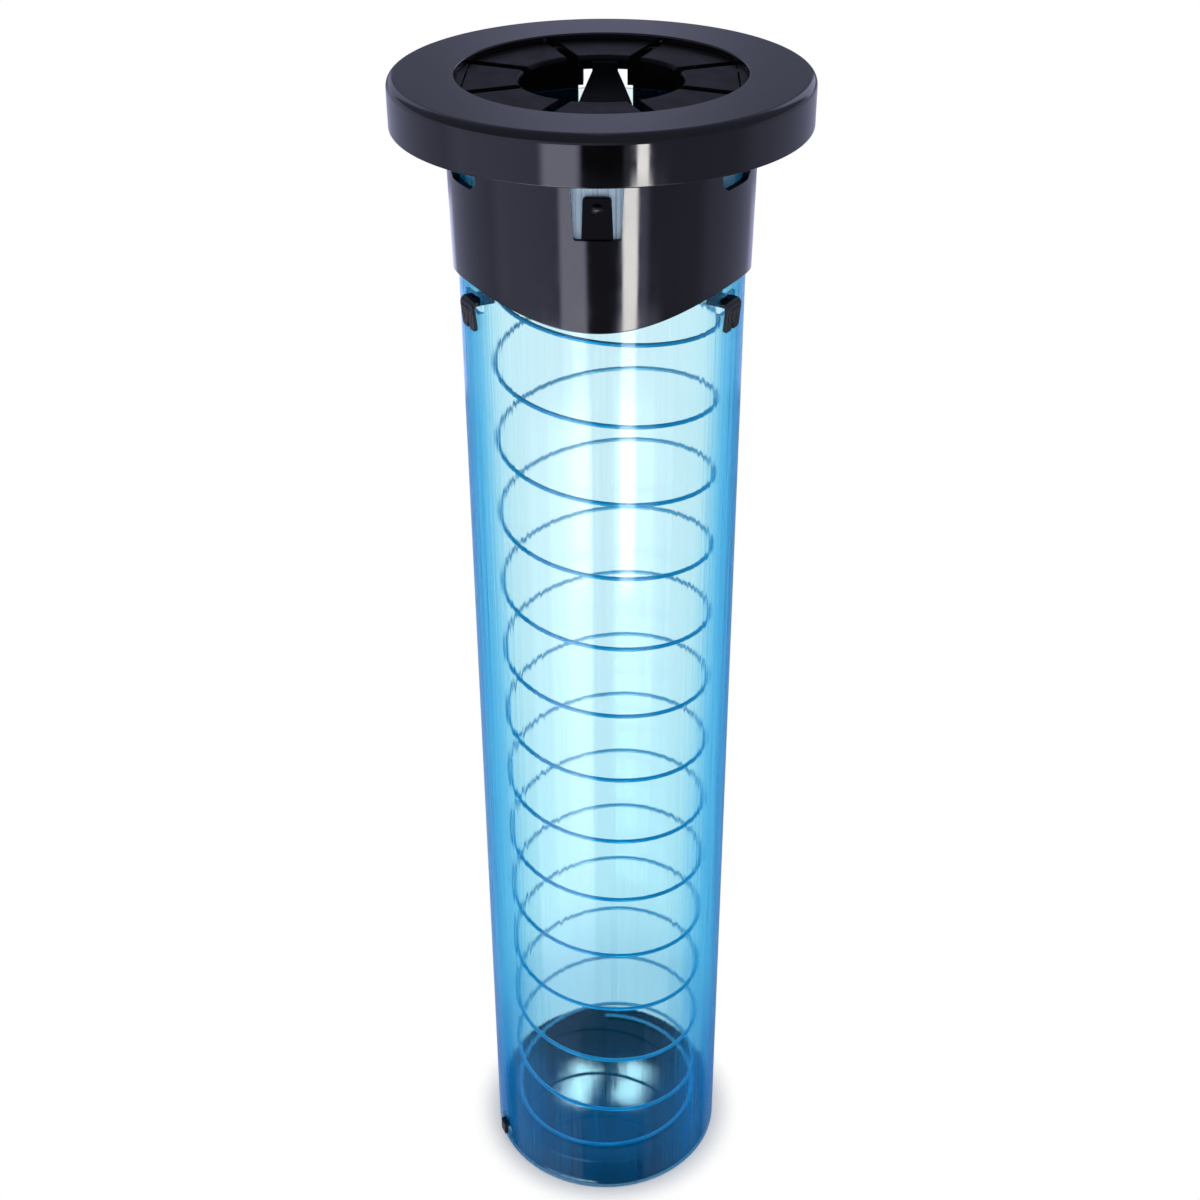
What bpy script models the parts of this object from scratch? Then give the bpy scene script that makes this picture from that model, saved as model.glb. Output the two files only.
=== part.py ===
"""In-counter cup dispenser: black head with eight fingers, clear blue tube, lift spring and base.

Metres, +Z up, the origin on the floor under the tube's axis. The front faces -Y. An azimuth is 0 at
the front and grows towards +X. A depth is measured down from the top face of the trim ring.
"""

import math

import bmesh
import bpy
from mathutils import Matrix, Vector

# Overall
OVERALL_HEIGHT = 0.672
CLEARANCE = 0.0003
CUT_OVERRUN = 0.004
WINDOW_CUT_REACH = 0.0246
ROUND_STEPS = 64
PIN_STEPS = 16
HALF_ROUND_STEPS = 8
EDGE_STEPS = 3
SMOOTH_ANGLE = math.radians(30.0)
FINE_ROUND_STEPS = 96
CORNER_STEPS = 5

# Tube
TUBE_RADIUS = 0.0693
TUBE_WALL = 0.0026
TUBE_TOP_DEPTH = 0.0270
TUBE_TO_COLLAR_GAP = 0.0004
TUBE_BORE_RADIUS = TUBE_RADIUS - TUBE_WALL
SLOT_HALF_WIDTH = 0.0076
SLOT_CORNER = 0.0020
ARM_SLOT_HEADROOM = 0.0026
ARM_SLOT_FOOTROOM = 0.0045
CLIP_SLOT_HEADROOM = 0.0013
CLIP_SLOT_FOOTROOM = 0.0045

# Trim ring, which lies on the counter
RING_OVERHANG = 0.0292
RING_HOLE_INSET = 0.0019
RING_RADIUS = TUBE_RADIUS + RING_OVERHANG
RING_HOLE_RADIUS = TUBE_RADIUS - RING_HOLE_INSET
RING_PLATE_THICKNESS = 0.0030
RING_SKIRT_DEPTH = 0.0226
RING_SKIRT_WALL = 0.0026
RING_SHOULDER_RADIUS = 0.0042
RING_HOLE_EDGE_RADIUS = 0.0008
RING_RIB_GAP = 0.0005
RING_RIB_WALL = 0.0020
RING_RIB_DEPTH = 0.0120

# Finger gasket: a clamped rim and eight hinged fingers
FINGER_COUNT = 8
FINGER_THICKNESS = 0.0018
FINGER_HINGE_INSET = 0.0048
FINGER_LENGTH = 0.0246
FINGER_HINGE_APOTHEM = RING_HOLE_RADIUS - FINGER_HINGE_INSET
FINGER_TIP_RADIUS = FINGER_HINGE_APOTHEM - FINGER_LENGTH
FINGER_SLOT_WIDTH = 0.0060
FINGER_TIP_STEPS = 10
GASKET_REACH = 0.0027
GASKET_RADIUS = TUBE_RADIUS + GASKET_REACH

# Carrier under the gasket, which holds the guide arms
CARRIER_FLANGE_REACH = 0.0035
CARRIER_FLANGE_RADIUS = TUBE_RADIUS + CARRIER_FLANGE_REACH
CARRIER_FLANGE_THICKNESS = 0.0020
CARRIER_WALL = 0.0041
CARRIER_WALL_RADIUS = TUBE_RADIUS
CARRIER_BORE_RADIUS = CARRIER_WALL_RADIUS - CARRIER_WALL
CARRIER_SKIRT_DEPTH = 0.0247
CARRIER_NOTCH_DEPTH = 0.0170
CARRIER_NOTCH_HALF_WIDTH = 0.0109

# Mounting collar, which drops through the counter
COLLAR_TOP_WALL = 0.0037
COLLAR_TOP_OUTER_RADIUS = TUBE_RADIUS + TUBE_TO_COLLAR_GAP + COLLAR_TOP_WALL
COLLAR_DRAFT_SHARE = 0.0152
COLLAR_EDGE_MEAN_DEPTH = 0.0937
COLLAR_EDGE_WAVE = 0.0054
COLLAR_LOBES = 3
COLLAR_LUG_REACH = 0.0032
COLLAR_LUG_HEIGHT = 0.0026
COLLAR_LUG_HALF_WIDTH = 0.0070

# Windows in the collar for the guide arms
ARM_WINDOW_STEP_DEPTH = 0.0250
ARM_WINDOW_BOTTOM_DEPTH = 0.0415
ARM_WINDOW_HALF_WIDTH = 0.0136
ARM_WINDOW_CORNER = 0.0020

# Counter tabs and their windows
TAB_WINDOW_TOP_DEPTH = 0.0200
TAB_WINDOW_BOTTOM_DEPTH = 0.0550
TAB_WINDOW_TOP_HALF_WIDTH = 0.0124
TAB_WINDOW_BOTTOM_HALF_WIDTH = 0.0105
TAB_TOP_DEPTH = 0.0352
TAB_TOP_HALF_WIDTH = 0.0063
TAB_ROOT_HALF_WIDTH = 0.0071
TAB_THICKNESS = 0.0020
TAB_FACE_INSET = 0.0002
TAB_CORNER = 0.0016
TAB_BUMP_DEPTH = 0.0402
TAB_BUMP_RADIUS = 0.0026
TAB_BUMP_REACH = 0.0018
TAB_BUMP_SEGMENTS = 20
TAB_BUMP_RINGS = 12

# Guide arms: a bowed leaf that hangs from the carrier and hooks out through the tube
ARM_BARREL_RADIUS = 0.0015
ARM_AXIS_INSET = 0.0013
ARM_AXIS_RADIUS = CARRIER_BORE_RADIUS + ARM_AXIS_INSET
ARM_AXIS_DEPTH = 0.0110
ARM_LEAF_THICKNESS = 0.0020
ARM_NECK_HALF_WIDTH = 0.0063
ARM_LEAF_HALF_WIDTH = 0.0134
ARM_HOOK_HALF_WIDTH = 0.0064
ARM_STANDOFF = 0.0053
ARM_BOW = 0.0064
ARM_HEAD_RADIUS = TUBE_BORE_RADIUS - ARM_STANDOFF
ARM_BOW_RADIUS = ARM_HEAD_RADIUS - ARM_BOW
ARM_BOW_DEPTH = 0.0480
ARM_FOOT_RADIUS = ARM_HEAD_RADIUS
ARM_HOOK_DROP = 0.0087
ARM_HOOK_LENGTH = 0.0145
ARM_HOOK_THICKNESS = 0.0020
ARM_HOOK_BEND = 0.0028
ARM_HOOK_LEAN = 0.0013
ARM_HOOK_TO_TUBE_GAP = 0.0019
ARM_HOOK_BAR_TOP_DEPTH = COLLAR_EDGE_MEAN_DEPTH - COLLAR_EDGE_WAVE + ARM_HOOK_DROP
ARM_HOOK_TIP_DEPTH = ARM_HOOK_BAR_TOP_DEPTH + ARM_HOOK_LENGTH
ARM_HOOK_OUTER_RADIUS = TUBE_RADIUS + ARM_HOOK_TO_TUBE_GAP + ARM_HOOK_THICKNESS
ARM_RIDGE_HALF_WIDTH = 0.0013
ARM_RIDGE_HEIGHT = 0.0006
ARM_NOTCH_HALF_WIDTH = 0.0010
ARM_NOTCH_HEIGHT = 0.0036
ARM_NECK_SHARE = 0.17
ARM_LEAF_STEPS = 5

# Pusher plate
PUSHER_TO_TUBE_GAP = 0.0095
PUSHER_RADIUS = TUBE_BORE_RADIUS - PUSHER_TO_TUBE_GAP
PUSHER_TOP_DEPTH = 0.0725
PUSHER_THICKNESS = 0.0030
PUSHER_SKIRT_INSET = 0.0054
PUSHER_SKIRT_RADIUS = PUSHER_RADIUS - PUSHER_SKIRT_INSET
PUSHER_SKIRT_WALL = 0.0020
PUSHER_SKIRT_DEPTH = 0.0140
PUSHER_RIM = 0.0082
PUSHER_RECESS_RADIUS = PUSHER_RADIUS - PUSHER_RIM
PUSHER_RECESS = 0.0010
PUSHER_EDGE_RADIUS = 0.0008

# Lift spring
SPRING_INSET = 0.0009
SPRING_RADIUS = PUSHER_RADIUS - SPRING_INSET
SPRING_WIRE_RADIUS = 0.0011
SPRING_PITCH = 0.0422
SPRING_END_TURNS = 0.65
SPRING_BLEND_TURNS = 0.20
SPRING_POINTS_PER_TURN = 10
SPRING_LOWER_END_AZIMUTH = math.radians(180.0)
SPRING_LEAST_GAP = 0.0004

# Base plug and its two clips
PLUG_HEIGHT = 0.0220
PLUG_WALL = 0.0025
PLUG_EDGE_RADIUS = 0.0025
CLIP_AZIMUTH = math.radians(-64.5)
CLIP_COUNT = 2
CLIP_HALF_WIDTH = 0.0030
CLIP_HEADROOM = 0.0045
CLIP_BAR_THICKNESS = 0.0030
CLIP_LEG_THICKNESS = 0.0022
CLIP_OUTER_REACH = 0.0060
CLIP_INNER_REACH = 0.0039

# Places around the axis
ARM_AZIMUTHS = [math.radians(angle) for angle in (-60.0, 60.0, 180.0)]
TAB_AZIMUTHS = [math.radians(angle) for angle in (0.0, 120.0, -120.0)]
LUG_AZIMUTHS = [math.radians(angle) for angle in (30.0, 150.0, -90.0)]

# Worked out from the values above. Welding joins only points that lie on each other.
WELD_DISTANCE = CLEARANCE / 30
GASKET_TOP_DEPTH = RING_PLATE_THICKNESS + CLEARANCE
GASKET_BOTTOM_DEPTH = GASKET_TOP_DEPTH + FINGER_THICKNESS
FINGER_AXIS_DEPTH = GASKET_TOP_DEPTH + FINGER_THICKNESS / 2
HINGE_OCTAGON_APOTHEM = FINGER_HINGE_APOTHEM + FINGER_THICKNESS / 2 + CLEARANCE
CARRIER_TOP_DEPTH = GASKET_BOTTOM_DEPTH + CLEARANCE
CARRIER_FLANGE_BOTTOM_DEPTH = CARRIER_TOP_DEPTH + CARRIER_FLANGE_THICKNESS
COLLAR_TOP_DEPTH = CARRIER_FLANGE_BOTTOM_DEPTH + CLEARANCE
COLLAR_BORE_RADIUS = TUBE_RADIUS + TUBE_TO_COLLAR_GAP
PLUG_RADIUS = TUBE_BORE_RADIUS - CLEARANCE
RING_RIB_INNER_RADIUS = COLLAR_TOP_OUTER_RADIUS + RING_RIB_GAP
COLLAR_LUG_TOP_DEPTH = RING_RIB_DEPTH + CLEARANCE
TAB_OUTER_RADIUS = COLLAR_TOP_OUTER_RADIUS - COLLAR_DRAFT_SHARE * TAB_WINDOW_BOTTOM_DEPTH - TAB_FACE_INSET
TAB_AXIS_RADIUS = TAB_OUTER_RADIUS - TAB_THICKNESS / 2
TAB_AXIS_DEPTH = TAB_WINDOW_BOTTOM_DEPTH - CLEARANCE - TAB_THICKNESS / 2
PUSHER_BOTTOM_DEPTH = PUSHER_TOP_DEPTH + PUSHER_THICKNESS
CLIP_BAR_TOP = PLUG_HEIGHT - PLUG_WALL - CLIP_HEADROOM
CLIP_BAR_BOTTOM = CLIP_BAR_TOP - CLIP_BAR_THICKNESS


def height(depth):
    """The height above the floor of a depth below the top face."""
    return OVERALL_HEIGHT - depth


def clear_scene():
    for obj in list(bpy.data.objects):
        bpy.data.objects.remove(obj, do_unlink=True)


def new_collection(name):
    collection = bpy.data.collections.new(name)
    bpy.context.scene.collection.children.link(collection)
    return collection


def plastic(name, color, roughness, metallic=0.0, transmission=0.0):
    """A Principled material with the part's colour, roughness and metallic value."""
    made = bpy.data.materials.new(name)
    made.use_nodes = True
    made.diffuse_color = (*color, 1.0)
    shader = made.node_tree.nodes["Principled BSDF"]
    shader.inputs["Base Color"].default_value = (*color, 1.0)
    shader.inputs["Roughness"].default_value = roughness
    shader.inputs["Metallic"].default_value = metallic
    shader.inputs["Transmission Weight"].default_value = transmission
    return made


def new_object(name, mesh, collection, finish=None):
    obj = bpy.data.objects.new(name, mesh)
    collection.objects.link(obj)
    if finish:
        mesh.materials.clear()
        mesh.materials.append(finish)
    return obj


def make_cutter(obj):
    obj.hide_render = True
    obj.display_type = "WIRE"
    return obj


def baked(obj):
    """Replaces an object by a mesh of what the viewport shows, its points welded."""
    bpy.context.view_layer.update()
    graph = bpy.context.evaluated_depsgraph_get()
    mesh = bpy.data.meshes.new_from_object(obj.evaluated_get(graph))
    name, collection, matrix = obj.name, obj.users_collection[0], obj.matrix_world.copy()
    bpy.data.objects.remove(obj, do_unlink=True)
    work = bmesh.new()
    work.from_mesh(mesh)
    bmesh.ops.remove_doubles(work, verts=work.verts, dist=WELD_DISTANCE)
    bmesh.ops.recalc_face_normals(work, faces=work.faces)
    work.to_mesh(mesh)
    work.free()
    made = bpy.data.objects.new(name, mesh)
    made.matrix_world = matrix
    collection.objects.link(made)
    return made


def boolean(obj, other, operation):
    modifier = obj.modifiers.new(f"{operation.lower()} {other.name}", "BOOLEAN")
    modifier.operation = operation
    modifier.object = other
    return modifier


def turned(name, profile, collection, finish=None, steps=ROUND_STEPS, closed=True):
    """A turned solid from (radius, height) pairs. The profile runs down its outer side.

    A closed profile makes a ring, and an open one starts and ends on the axis.
    """
    mesh = bpy.data.meshes.new(name)
    points = [(radius, 0.0, z) for radius, z in profile]
    edges = [(i, (i + 1) % len(points)) for i in range(len(points) if closed else len(points) - 1)]
    mesh.from_pydata(points, edges, [])
    obj = new_object(name, mesh, collection, finish)
    screw = obj.modifiers.new("turn", "SCREW")
    screw.steps = steps
    screw.render_steps = steps
    screw.use_smooth_shade = True
    screw.use_merge_vertices = True
    screw.merge_threshold = WELD_DISTANCE
    return obj


def extruded(name, outline, half_length, collection):
    """A closed outline in the local XY plane, extruded both ways along local Z, as a mesh."""
    curve = bpy.data.curves.new(name, "CURVE")
    curve.dimensions = "2D"
    curve.fill_mode = "BOTH"
    curve.extrude = half_length
    spline = curve.splines.new("POLY")
    spline.points.add(len(outline) - 1)
    for point, (x, y) in zip(spline.points, outline):
        point.co = (x, y, 0.0, 1.0)
    spline.use_cyclic_u = True
    return baked(new_object(name, curve, collection))


def reshape(obj, matrix):
    """Moves the mesh inside its object."""
    obj.data.transform(matrix)
    return obj


def turn_about_axis(azimuth):
    return Matrix.Rotation(azimuth, 4, "Z")


# Local frames at the front: the first carries an outline of (across, up) outwards from the axis, and
# the second an outline of (outwards, up) across.
FACING_OUT = Matrix(((1, 0, 0, 0), (0, 0, -1, 0), (0, 1, 0, 0), (0, 0, 0, 1)))
FACING_ACROSS = Matrix(((0, 0, -1, 0), (-1, 0, 0, 0), (0, 1, 0, 0), (0, 0, 0, 1)))


def arc(center, radius, start, end, steps):
    """Points on a circle in a plane, angles in radians."""
    points = []
    for i in range(steps + 1):
        angle = start + (end - start) * i / steps
        points.append((center[0] + radius * math.cos(angle), center[1] + radius * math.sin(angle)))
    return points


def window_cutter(name, outline, azimuth, collection):
    """A cutter through the wall at one azimuth, from an outline of (across, height) pairs."""
    cutter = extruded(name, outline, WINDOW_CUT_REACH, collection)
    reshape(cutter, turn_about_axis(azimuth) @ Matrix.Translation((0, -TUBE_RADIUS, 0)) @ FACING_OUT)
    return make_cutter(cutter)


def cut_window(target, name, outline, azimuth, collection):
    boolean(target, window_cutter(name, outline, azimuth, collection), "DIFFERENCE")


def smooth_by_angle(obj):
    obj.data.shade_smooth()
    obj.data.set_sharp_from_angle(angle=SMOOTH_ANGLE)


def rounded_corner(previous, corner, following, radius):
    """A short curve in place of a corner. Its length is limited by the sides."""
    corner = Vector(corner)
    before = Vector(previous) - corner
    after = Vector(following) - corner
    cut = min(radius, before.length / 2, after.length / 2)
    start = corner + before.normalized() * cut
    end = corner + after.normalized() * cut
    points = []
    for step in range(CORNER_STEPS + 1):
        t = step / CORNER_STEPS
        point = start * (1 - t) ** 2 + corner * 2 * t * (1 - t) + end * t**2
        points.append((point.x, point.y))
    return points


def rounded_outline(corners, radius):
    """A closed outline with its corners rounded."""
    points = []
    for i, corner in enumerate(corners):
        points += rounded_corner(corners[i - 1], corner, corners[(i + 1) % len(corners)], radius)
    return points


def rounded_path(corners, radius):
    """An open path with its inner corners rounded."""
    points = [corners[0]]
    for previous, corner, following in zip(corners, corners[1:], corners[2:]):
        points += rounded_corner(previous, corner, following, radius)
    points.append(corners[-1])
    return points


def ribbon(path, half_thickness):
    """The closed outline of a strip of even thickness along a path."""
    left, right = [], []
    for i, point in enumerate(path):
        here = Vector(point)
        ahead = Vector(path[min(i + 1, len(path) - 1)])
        behind = Vector(path[max(i - 1, 0)])
        along = (ahead - behind).normalized()
        across = Vector((-along.y, along.x)) * half_thickness
        left.append(tuple(here + across))
        right.append(tuple(here - across))
    return left + right[::-1]


def trim_ring(collection, finish):
    top, skirt_bottom = height(0), height(RING_SKIRT_DEPTH)
    plate_bottom = height(RING_PLATE_THICKNESS)
    rib_outer = RING_RIB_INNER_RADIUS + RING_RIB_WALL
    skirt_inner = RING_RADIUS - RING_SKIRT_WALL
    inner_shoulder = RING_SHOULDER_RADIUS - RING_SKIRT_WALL
    hole_edge = RING_HOLE_EDGE_RADIUS
    quarter = math.pi / 2
    lip = (RING_HOLE_RADIUS + hole_edge, top - hole_edge)
    profile = arc(lip, hole_edge, 2 * quarter, quarter, EDGE_STEPS)
    shoulder = (RING_RADIUS - RING_SHOULDER_RADIUS, top - RING_SHOULDER_RADIUS)
    profile += arc(shoulder, RING_SHOULDER_RADIUS, quarter, 0, CORNER_STEPS)
    profile += [(RING_RADIUS, skirt_bottom), (skirt_inner, skirt_bottom)]
    inner = (skirt_inner - inner_shoulder, plate_bottom - inner_shoulder)
    profile += arc(inner, inner_shoulder, 0, quarter, EDGE_STEPS)
    profile += [(rib_outer, plate_bottom), (rib_outer, height(RING_RIB_DEPTH))]
    profile += [(RING_RIB_INNER_RADIUS, height(RING_RIB_DEPTH)), (RING_RIB_INNER_RADIUS, plate_bottom)]
    profile += [(RING_HOLE_RADIUS, plate_bottom)]
    return turned("trim_ring", profile, collection, finish, FINE_ROUND_STEPS)


def ring_profile(inner, outer, top, bottom):
    return [(outer, top), (outer, bottom), (inner, bottom), (inner, top)]


def hinge_octagon(cutters):
    """A prism with a flat side at each finger's hinge, through the gasket and the carrier's flange."""
    low, high = height(CARRIER_FLANGE_BOTTOM_DEPTH), height(RING_PLATE_THICKNESS)
    mesh = bpy.data.meshes.new("hinge_octagon_cutter")
    work = bmesh.new()
    corner_radius = HINGE_OCTAGON_APOTHEM / math.cos(math.pi / FINGER_COUNT)
    bmesh.ops.create_cone(
        work,
        cap_ends=True,
        segments=FINGER_COUNT,
        radius1=corner_radius,
        radius2=corner_radius,
        depth=high - low,
        matrix=Matrix.Translation((0, 0, (high + low) / 2)) @ turn_about_axis(math.pi / FINGER_COUNT),
    )
    work.to_mesh(mesh)
    work.free()
    return make_cutter(new_object("hinge_octagon_cutter", mesh, cutters))


def finger_gasket_rim(collection, finish):
    top, bottom = height(GASKET_TOP_DEPTH), height(GASKET_BOTTOM_DEPTH)
    profile = ring_profile(CARRIER_BORE_RADIUS - CUT_OVERRUN, GASKET_RADIUS, top, bottom)
    rim = turned("finger_gasket_rim", profile, collection, finish)
    boolean(rim, bpy.data.objects["hinge_octagon_cutter"], "DIFFERENCE")
    return rim


def finger(number, collection, cutters, finish):
    """One finger: a plate with a rounded hinge edge, cut to its plan. Its origin is on its hinge."""
    half = FINGER_THICKNESS / 2
    name = f"finger_{number}"
    inward = FINGER_HINGE_APOTHEM - FINGER_TIP_RADIUS * math.cos(math.pi / FINGER_COUNT) + CUT_OVERRUN
    quarter = math.pi / 2
    side = [(-inward, half), *arc((0, 0), half, quarter, -quarter, HALF_ROUND_STEPS), (-inward, -half)]
    plate = reshape(extruded(name, side, FINGER_HINGE_APOTHEM, collection), FACING_ACROSS)
    beta = math.pi / FINGER_COUNT
    slot = FINGER_SLOT_WIDTH / 2
    outer = (FINGER_HINGE_APOTHEM + CUT_OVERRUN - slot * math.sin(beta)) / math.cos(beta)
    across = outer * math.sin(beta) - slot * math.cos(beta)
    tip_angle = beta - math.asin(slot / FINGER_TIP_RADIUS)
    center = (0, FINGER_HINGE_APOTHEM)
    tip = arc(center, FINGER_TIP_RADIUS, tip_angle - quarter, -tip_angle - quarter, FINGER_TIP_STEPS)
    plan = [(-across, -CUT_OVERRUN), (across, -CUT_OVERRUN), *tip]
    outline = make_cutter(extruded(f"{name}_plan_cutter", plan, FINGER_THICKNESS, cutters))
    place = turn_about_axis(2 * math.pi * (number - 1) / FINGER_COUNT)
    place = place @ Matrix.Translation((0, -FINGER_HINGE_APOTHEM, height(FINGER_AXIS_DEPTH)))
    plate.matrix_world = place
    outline.matrix_world = place
    boolean(plate, outline, "INTERSECT")
    plate.data.materials.append(finish)
    return plate


def arm_groove_outline():
    """The section of the groove that an arm's barrel snaps into, with a narrower mouth to the inside."""
    radius = ARM_BARREL_RADIUS + CLEARANCE
    mouth = ARM_LEAF_THICKNESS / 2 + CLEARANCE
    z = height(ARM_AXIS_DEPTH)
    half_angle = math.pi - math.asin(mouth / radius)
    inner = CARRIER_BORE_RADIUS - CUT_OVERRUN
    return [
        (inner, z + mouth),
        *arc((ARM_AXIS_RADIUS, z), radius, half_angle, -half_angle, PIN_STEPS),
        (inner, z - mouth),
    ]


def carrier_ring(collection, cutters, finish):
    """The flange under the gasket, and the wall that the arms hang in."""
    top, flange_bottom = height(CARRIER_TOP_DEPTH), height(CARRIER_FLANGE_BOTTOM_DEPTH)
    bottom = height(CARRIER_SKIRT_DEPTH)
    profile = [
        (CARRIER_FLANGE_RADIUS, top),
        (CARRIER_FLANGE_RADIUS, flange_bottom),
        (CARRIER_WALL_RADIUS, flange_bottom),
        (CARRIER_WALL_RADIUS, bottom),
        (CARRIER_BORE_RADIUS, bottom),
        (CARRIER_BORE_RADIUS, flange_bottom),
        (CARRIER_BORE_RADIUS - CUT_OVERRUN, flange_bottom),
        (CARRIER_BORE_RADIUS - CUT_OVERRUN, top),
    ]
    carrier = turned("carrier_ring", profile, collection, finish)
    boolean(carrier, bpy.data.objects["hinge_octagon_cutter"], "DIFFERENCE")
    for number, azimuth in enumerate(ARM_AZIMUTHS, 1):
        notch = [
            (-CARRIER_NOTCH_HALF_WIDTH, bottom - CUT_OVERRUN),
            (CARRIER_NOTCH_HALF_WIDTH, bottom - CUT_OVERRUN),
            (CARRIER_NOTCH_HALF_WIDTH, height(CARRIER_NOTCH_DEPTH)),
            (-CARRIER_NOTCH_HALF_WIDTH, height(CARRIER_NOTCH_DEPTH)),
        ]
        cut_window(carrier, f"carrier_notch_{number}_cutter", notch, azimuth, cutters)
        half_length = ARM_NECK_HALF_WIDTH + CLEARANCE
        groove = extruded(f"carrier_groove_{number}_cutter", arm_groove_outline(), half_length, cutters)
        make_cutter(reshape(groove, turn_about_axis(azimuth) @ FACING_ACROSS))
        boolean(carrier, groove, "DIFFERENCE")
    return carrier


def collar_edge_height(azimuth):
    return height(COLLAR_EDGE_MEAN_DEPTH + COLLAR_EDGE_WAVE * math.cos(COLLAR_LOBES * azimuth))


def collar_outer_radius(depth):
    return COLLAR_TOP_OUTER_RADIUS - COLLAR_DRAFT_SHARE * depth


def collar_shell(collection, finish):
    """The drafted collar with its waved lower edge."""
    top, bottom = height(COLLAR_TOP_DEPTH), height(COLLAR_EDGE_MEAN_DEPTH)
    profile = [
        (collar_outer_radius(COLLAR_TOP_DEPTH), top),
        (collar_outer_radius(COLLAR_EDGE_MEAN_DEPTH), bottom),
        (COLLAR_BORE_RADIUS, bottom),
        (COLLAR_BORE_RADIUS, top),
    ]
    shell = baked(turned("mounting_collar", profile, collection, None, FINE_ROUND_STEPS))
    middle = (top + bottom) / 2
    for vertex in shell.data.vertices:
        if vertex.co.z < middle:
            azimuth = math.atan2(vertex.co.x, -vertex.co.y)
            vertex.co.z = collar_edge_height(azimuth)
    shell.data.materials.append(finish)
    return shell


def mounting_collar(collection, cutters, finish):
    collar = collar_shell(collection, finish)
    lug_center = (collar_outer_radius(COLLAR_LUG_TOP_DEPTH) + COLLAR_BORE_RADIUS) / 2
    lug_reach = collar_outer_radius(COLLAR_LUG_TOP_DEPTH) + COLLAR_LUG_REACH
    for number, azimuth in enumerate(LUG_AZIMUTHS, 1):
        top = height(COLLAR_LUG_TOP_DEPTH)
        side = [
            (lug_center, top),
            (lug_reach, top),
            (lug_center, top - COLLAR_LUG_HEIGHT - lug_reach + lug_center),
        ]
        lug = extruded(f"collar_lug_{number}_cutter", side, COLLAR_LUG_HALF_WIDTH, cutters)
        make_cutter(reshape(lug, turn_about_axis(azimuth) @ FACING_ACROSS))
        boolean(collar, lug, "UNION")
    for number, azimuth in enumerate(TAB_AZIMUTHS, 1):
        outline = [
            (-TAB_WINDOW_BOTTOM_HALF_WIDTH, height(TAB_WINDOW_BOTTOM_DEPTH)),
            (TAB_WINDOW_BOTTOM_HALF_WIDTH, height(TAB_WINDOW_BOTTOM_DEPTH)),
            (TAB_WINDOW_TOP_HALF_WIDTH, height(TAB_WINDOW_TOP_DEPTH)),
            (-TAB_WINDOW_TOP_HALF_WIDTH, height(TAB_WINDOW_TOP_DEPTH)),
        ]
        cut_window(collar, f"tab_window_{number}_cutter", outline, azimuth, cutters)
    for number, azimuth in enumerate(ARM_AZIMUTHS, 1):
        low, step = height(ARM_WINDOW_BOTTOM_DEPTH), height(ARM_WINDOW_STEP_DEPTH)
        high = height(CARRIER_NOTCH_DEPTH)
        wide, narrow = ARM_WINDOW_HALF_WIDTH, CARRIER_NOTCH_HALF_WIDTH
        outline = [
            (-wide + ARM_WINDOW_CORNER, low),
            (wide - ARM_WINDOW_CORNER, low),
            (wide, low + ARM_WINDOW_CORNER),
            (wide, step),
            (narrow, step),
            (narrow, high),
            (-narrow, high),
            (-narrow, step),
            (-wide, step),
            (-wide, low + ARM_WINDOW_CORNER),
        ]
        cut_window(collar, f"arm_window_{number}_cutter", outline, azimuth, cutters)
    return collar


def tab_bump(name, collection):
    """The part of a ball that stands out of a tab's middle plane."""
    mesh = bpy.data.meshes.new(name)
    work = bmesh.new()
    segments, rings = TAB_BUMP_SEGMENTS, TAB_BUMP_RINGS
    bmesh.ops.create_uvsphere(work, u_segments=segments, v_segments=rings, radius=TAB_BUMP_RADIUS)
    outward = TAB_THICKNESS / 2 + TAB_BUMP_REACH - TAB_BUMP_RADIUS
    bmesh.ops.translate(work, verts=work.verts, vec=(0, -outward, TAB_AXIS_DEPTH - TAB_BUMP_DEPTH))
    geometry = [*work.verts, *work.edges, *work.faces]
    plane = {"plane_co": (0, 0, 0), "plane_no": (0, 1, 0), "clear_outer": True}
    cut = bmesh.ops.bisect_plane(work, geom=geometry, **plane)
    rim = [item for item in cut["geom_cut"] if isinstance(item, bmesh.types.BMEdge)]
    bmesh.ops.contextual_create(work, geom=rim)
    bmesh.ops.recalc_face_normals(work, faces=work.faces)
    work.to_mesh(mesh)
    work.free()
    return make_cutter(new_object(name, mesh, collection))


def counter_tab(number, azimuth, collection, cutters, finish):
    """A sprung tab with a round bump near its free upper end. Its origin is at its root."""
    name = f"counter_tab_{number}"
    half = TAB_THICKNESS / 2
    rise = TAB_AXIS_DEPTH - TAB_TOP_DEPTH
    root = arc((0, 0), half, math.pi, 2 * math.pi, HALF_ROUND_STEPS)[1:-1]
    side = [(half, 0), (half, rise), (-half, rise), (-half, 0), *root]
    tab = reshape(extruded(name, side, TAB_WINDOW_TOP_HALF_WIDTH, collection), FACING_ACROSS)
    corners = [
        (-TAB_ROOT_HALF_WIDTH, -TAB_THICKNESS),
        (TAB_ROOT_HALF_WIDTH, -TAB_THICKNESS),
        (TAB_TOP_HALF_WIDTH, rise),
        (-TAB_TOP_HALF_WIDTH, rise),
    ]
    outline = rounded_outline(corners, TAB_CORNER)
    front = make_cutter(extruded(f"{name}_front_cutter", outline, TAB_THICKNESS, cutters))
    reshape(front, FACING_OUT)
    bump = tab_bump(f"{name}_bump_cutter", cutters)
    to_axis = Matrix.Translation((0, -TAB_AXIS_RADIUS, height(TAB_AXIS_DEPTH)))
    place = turn_about_axis(azimuth) @ to_axis
    for obj in (tab, front, bump):
        obj.matrix_world = place
    boolean(tab, front, "INTERSECT")
    boolean(tab, bump, "UNION")
    tab.data.materials.append(finish)
    return tab


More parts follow.
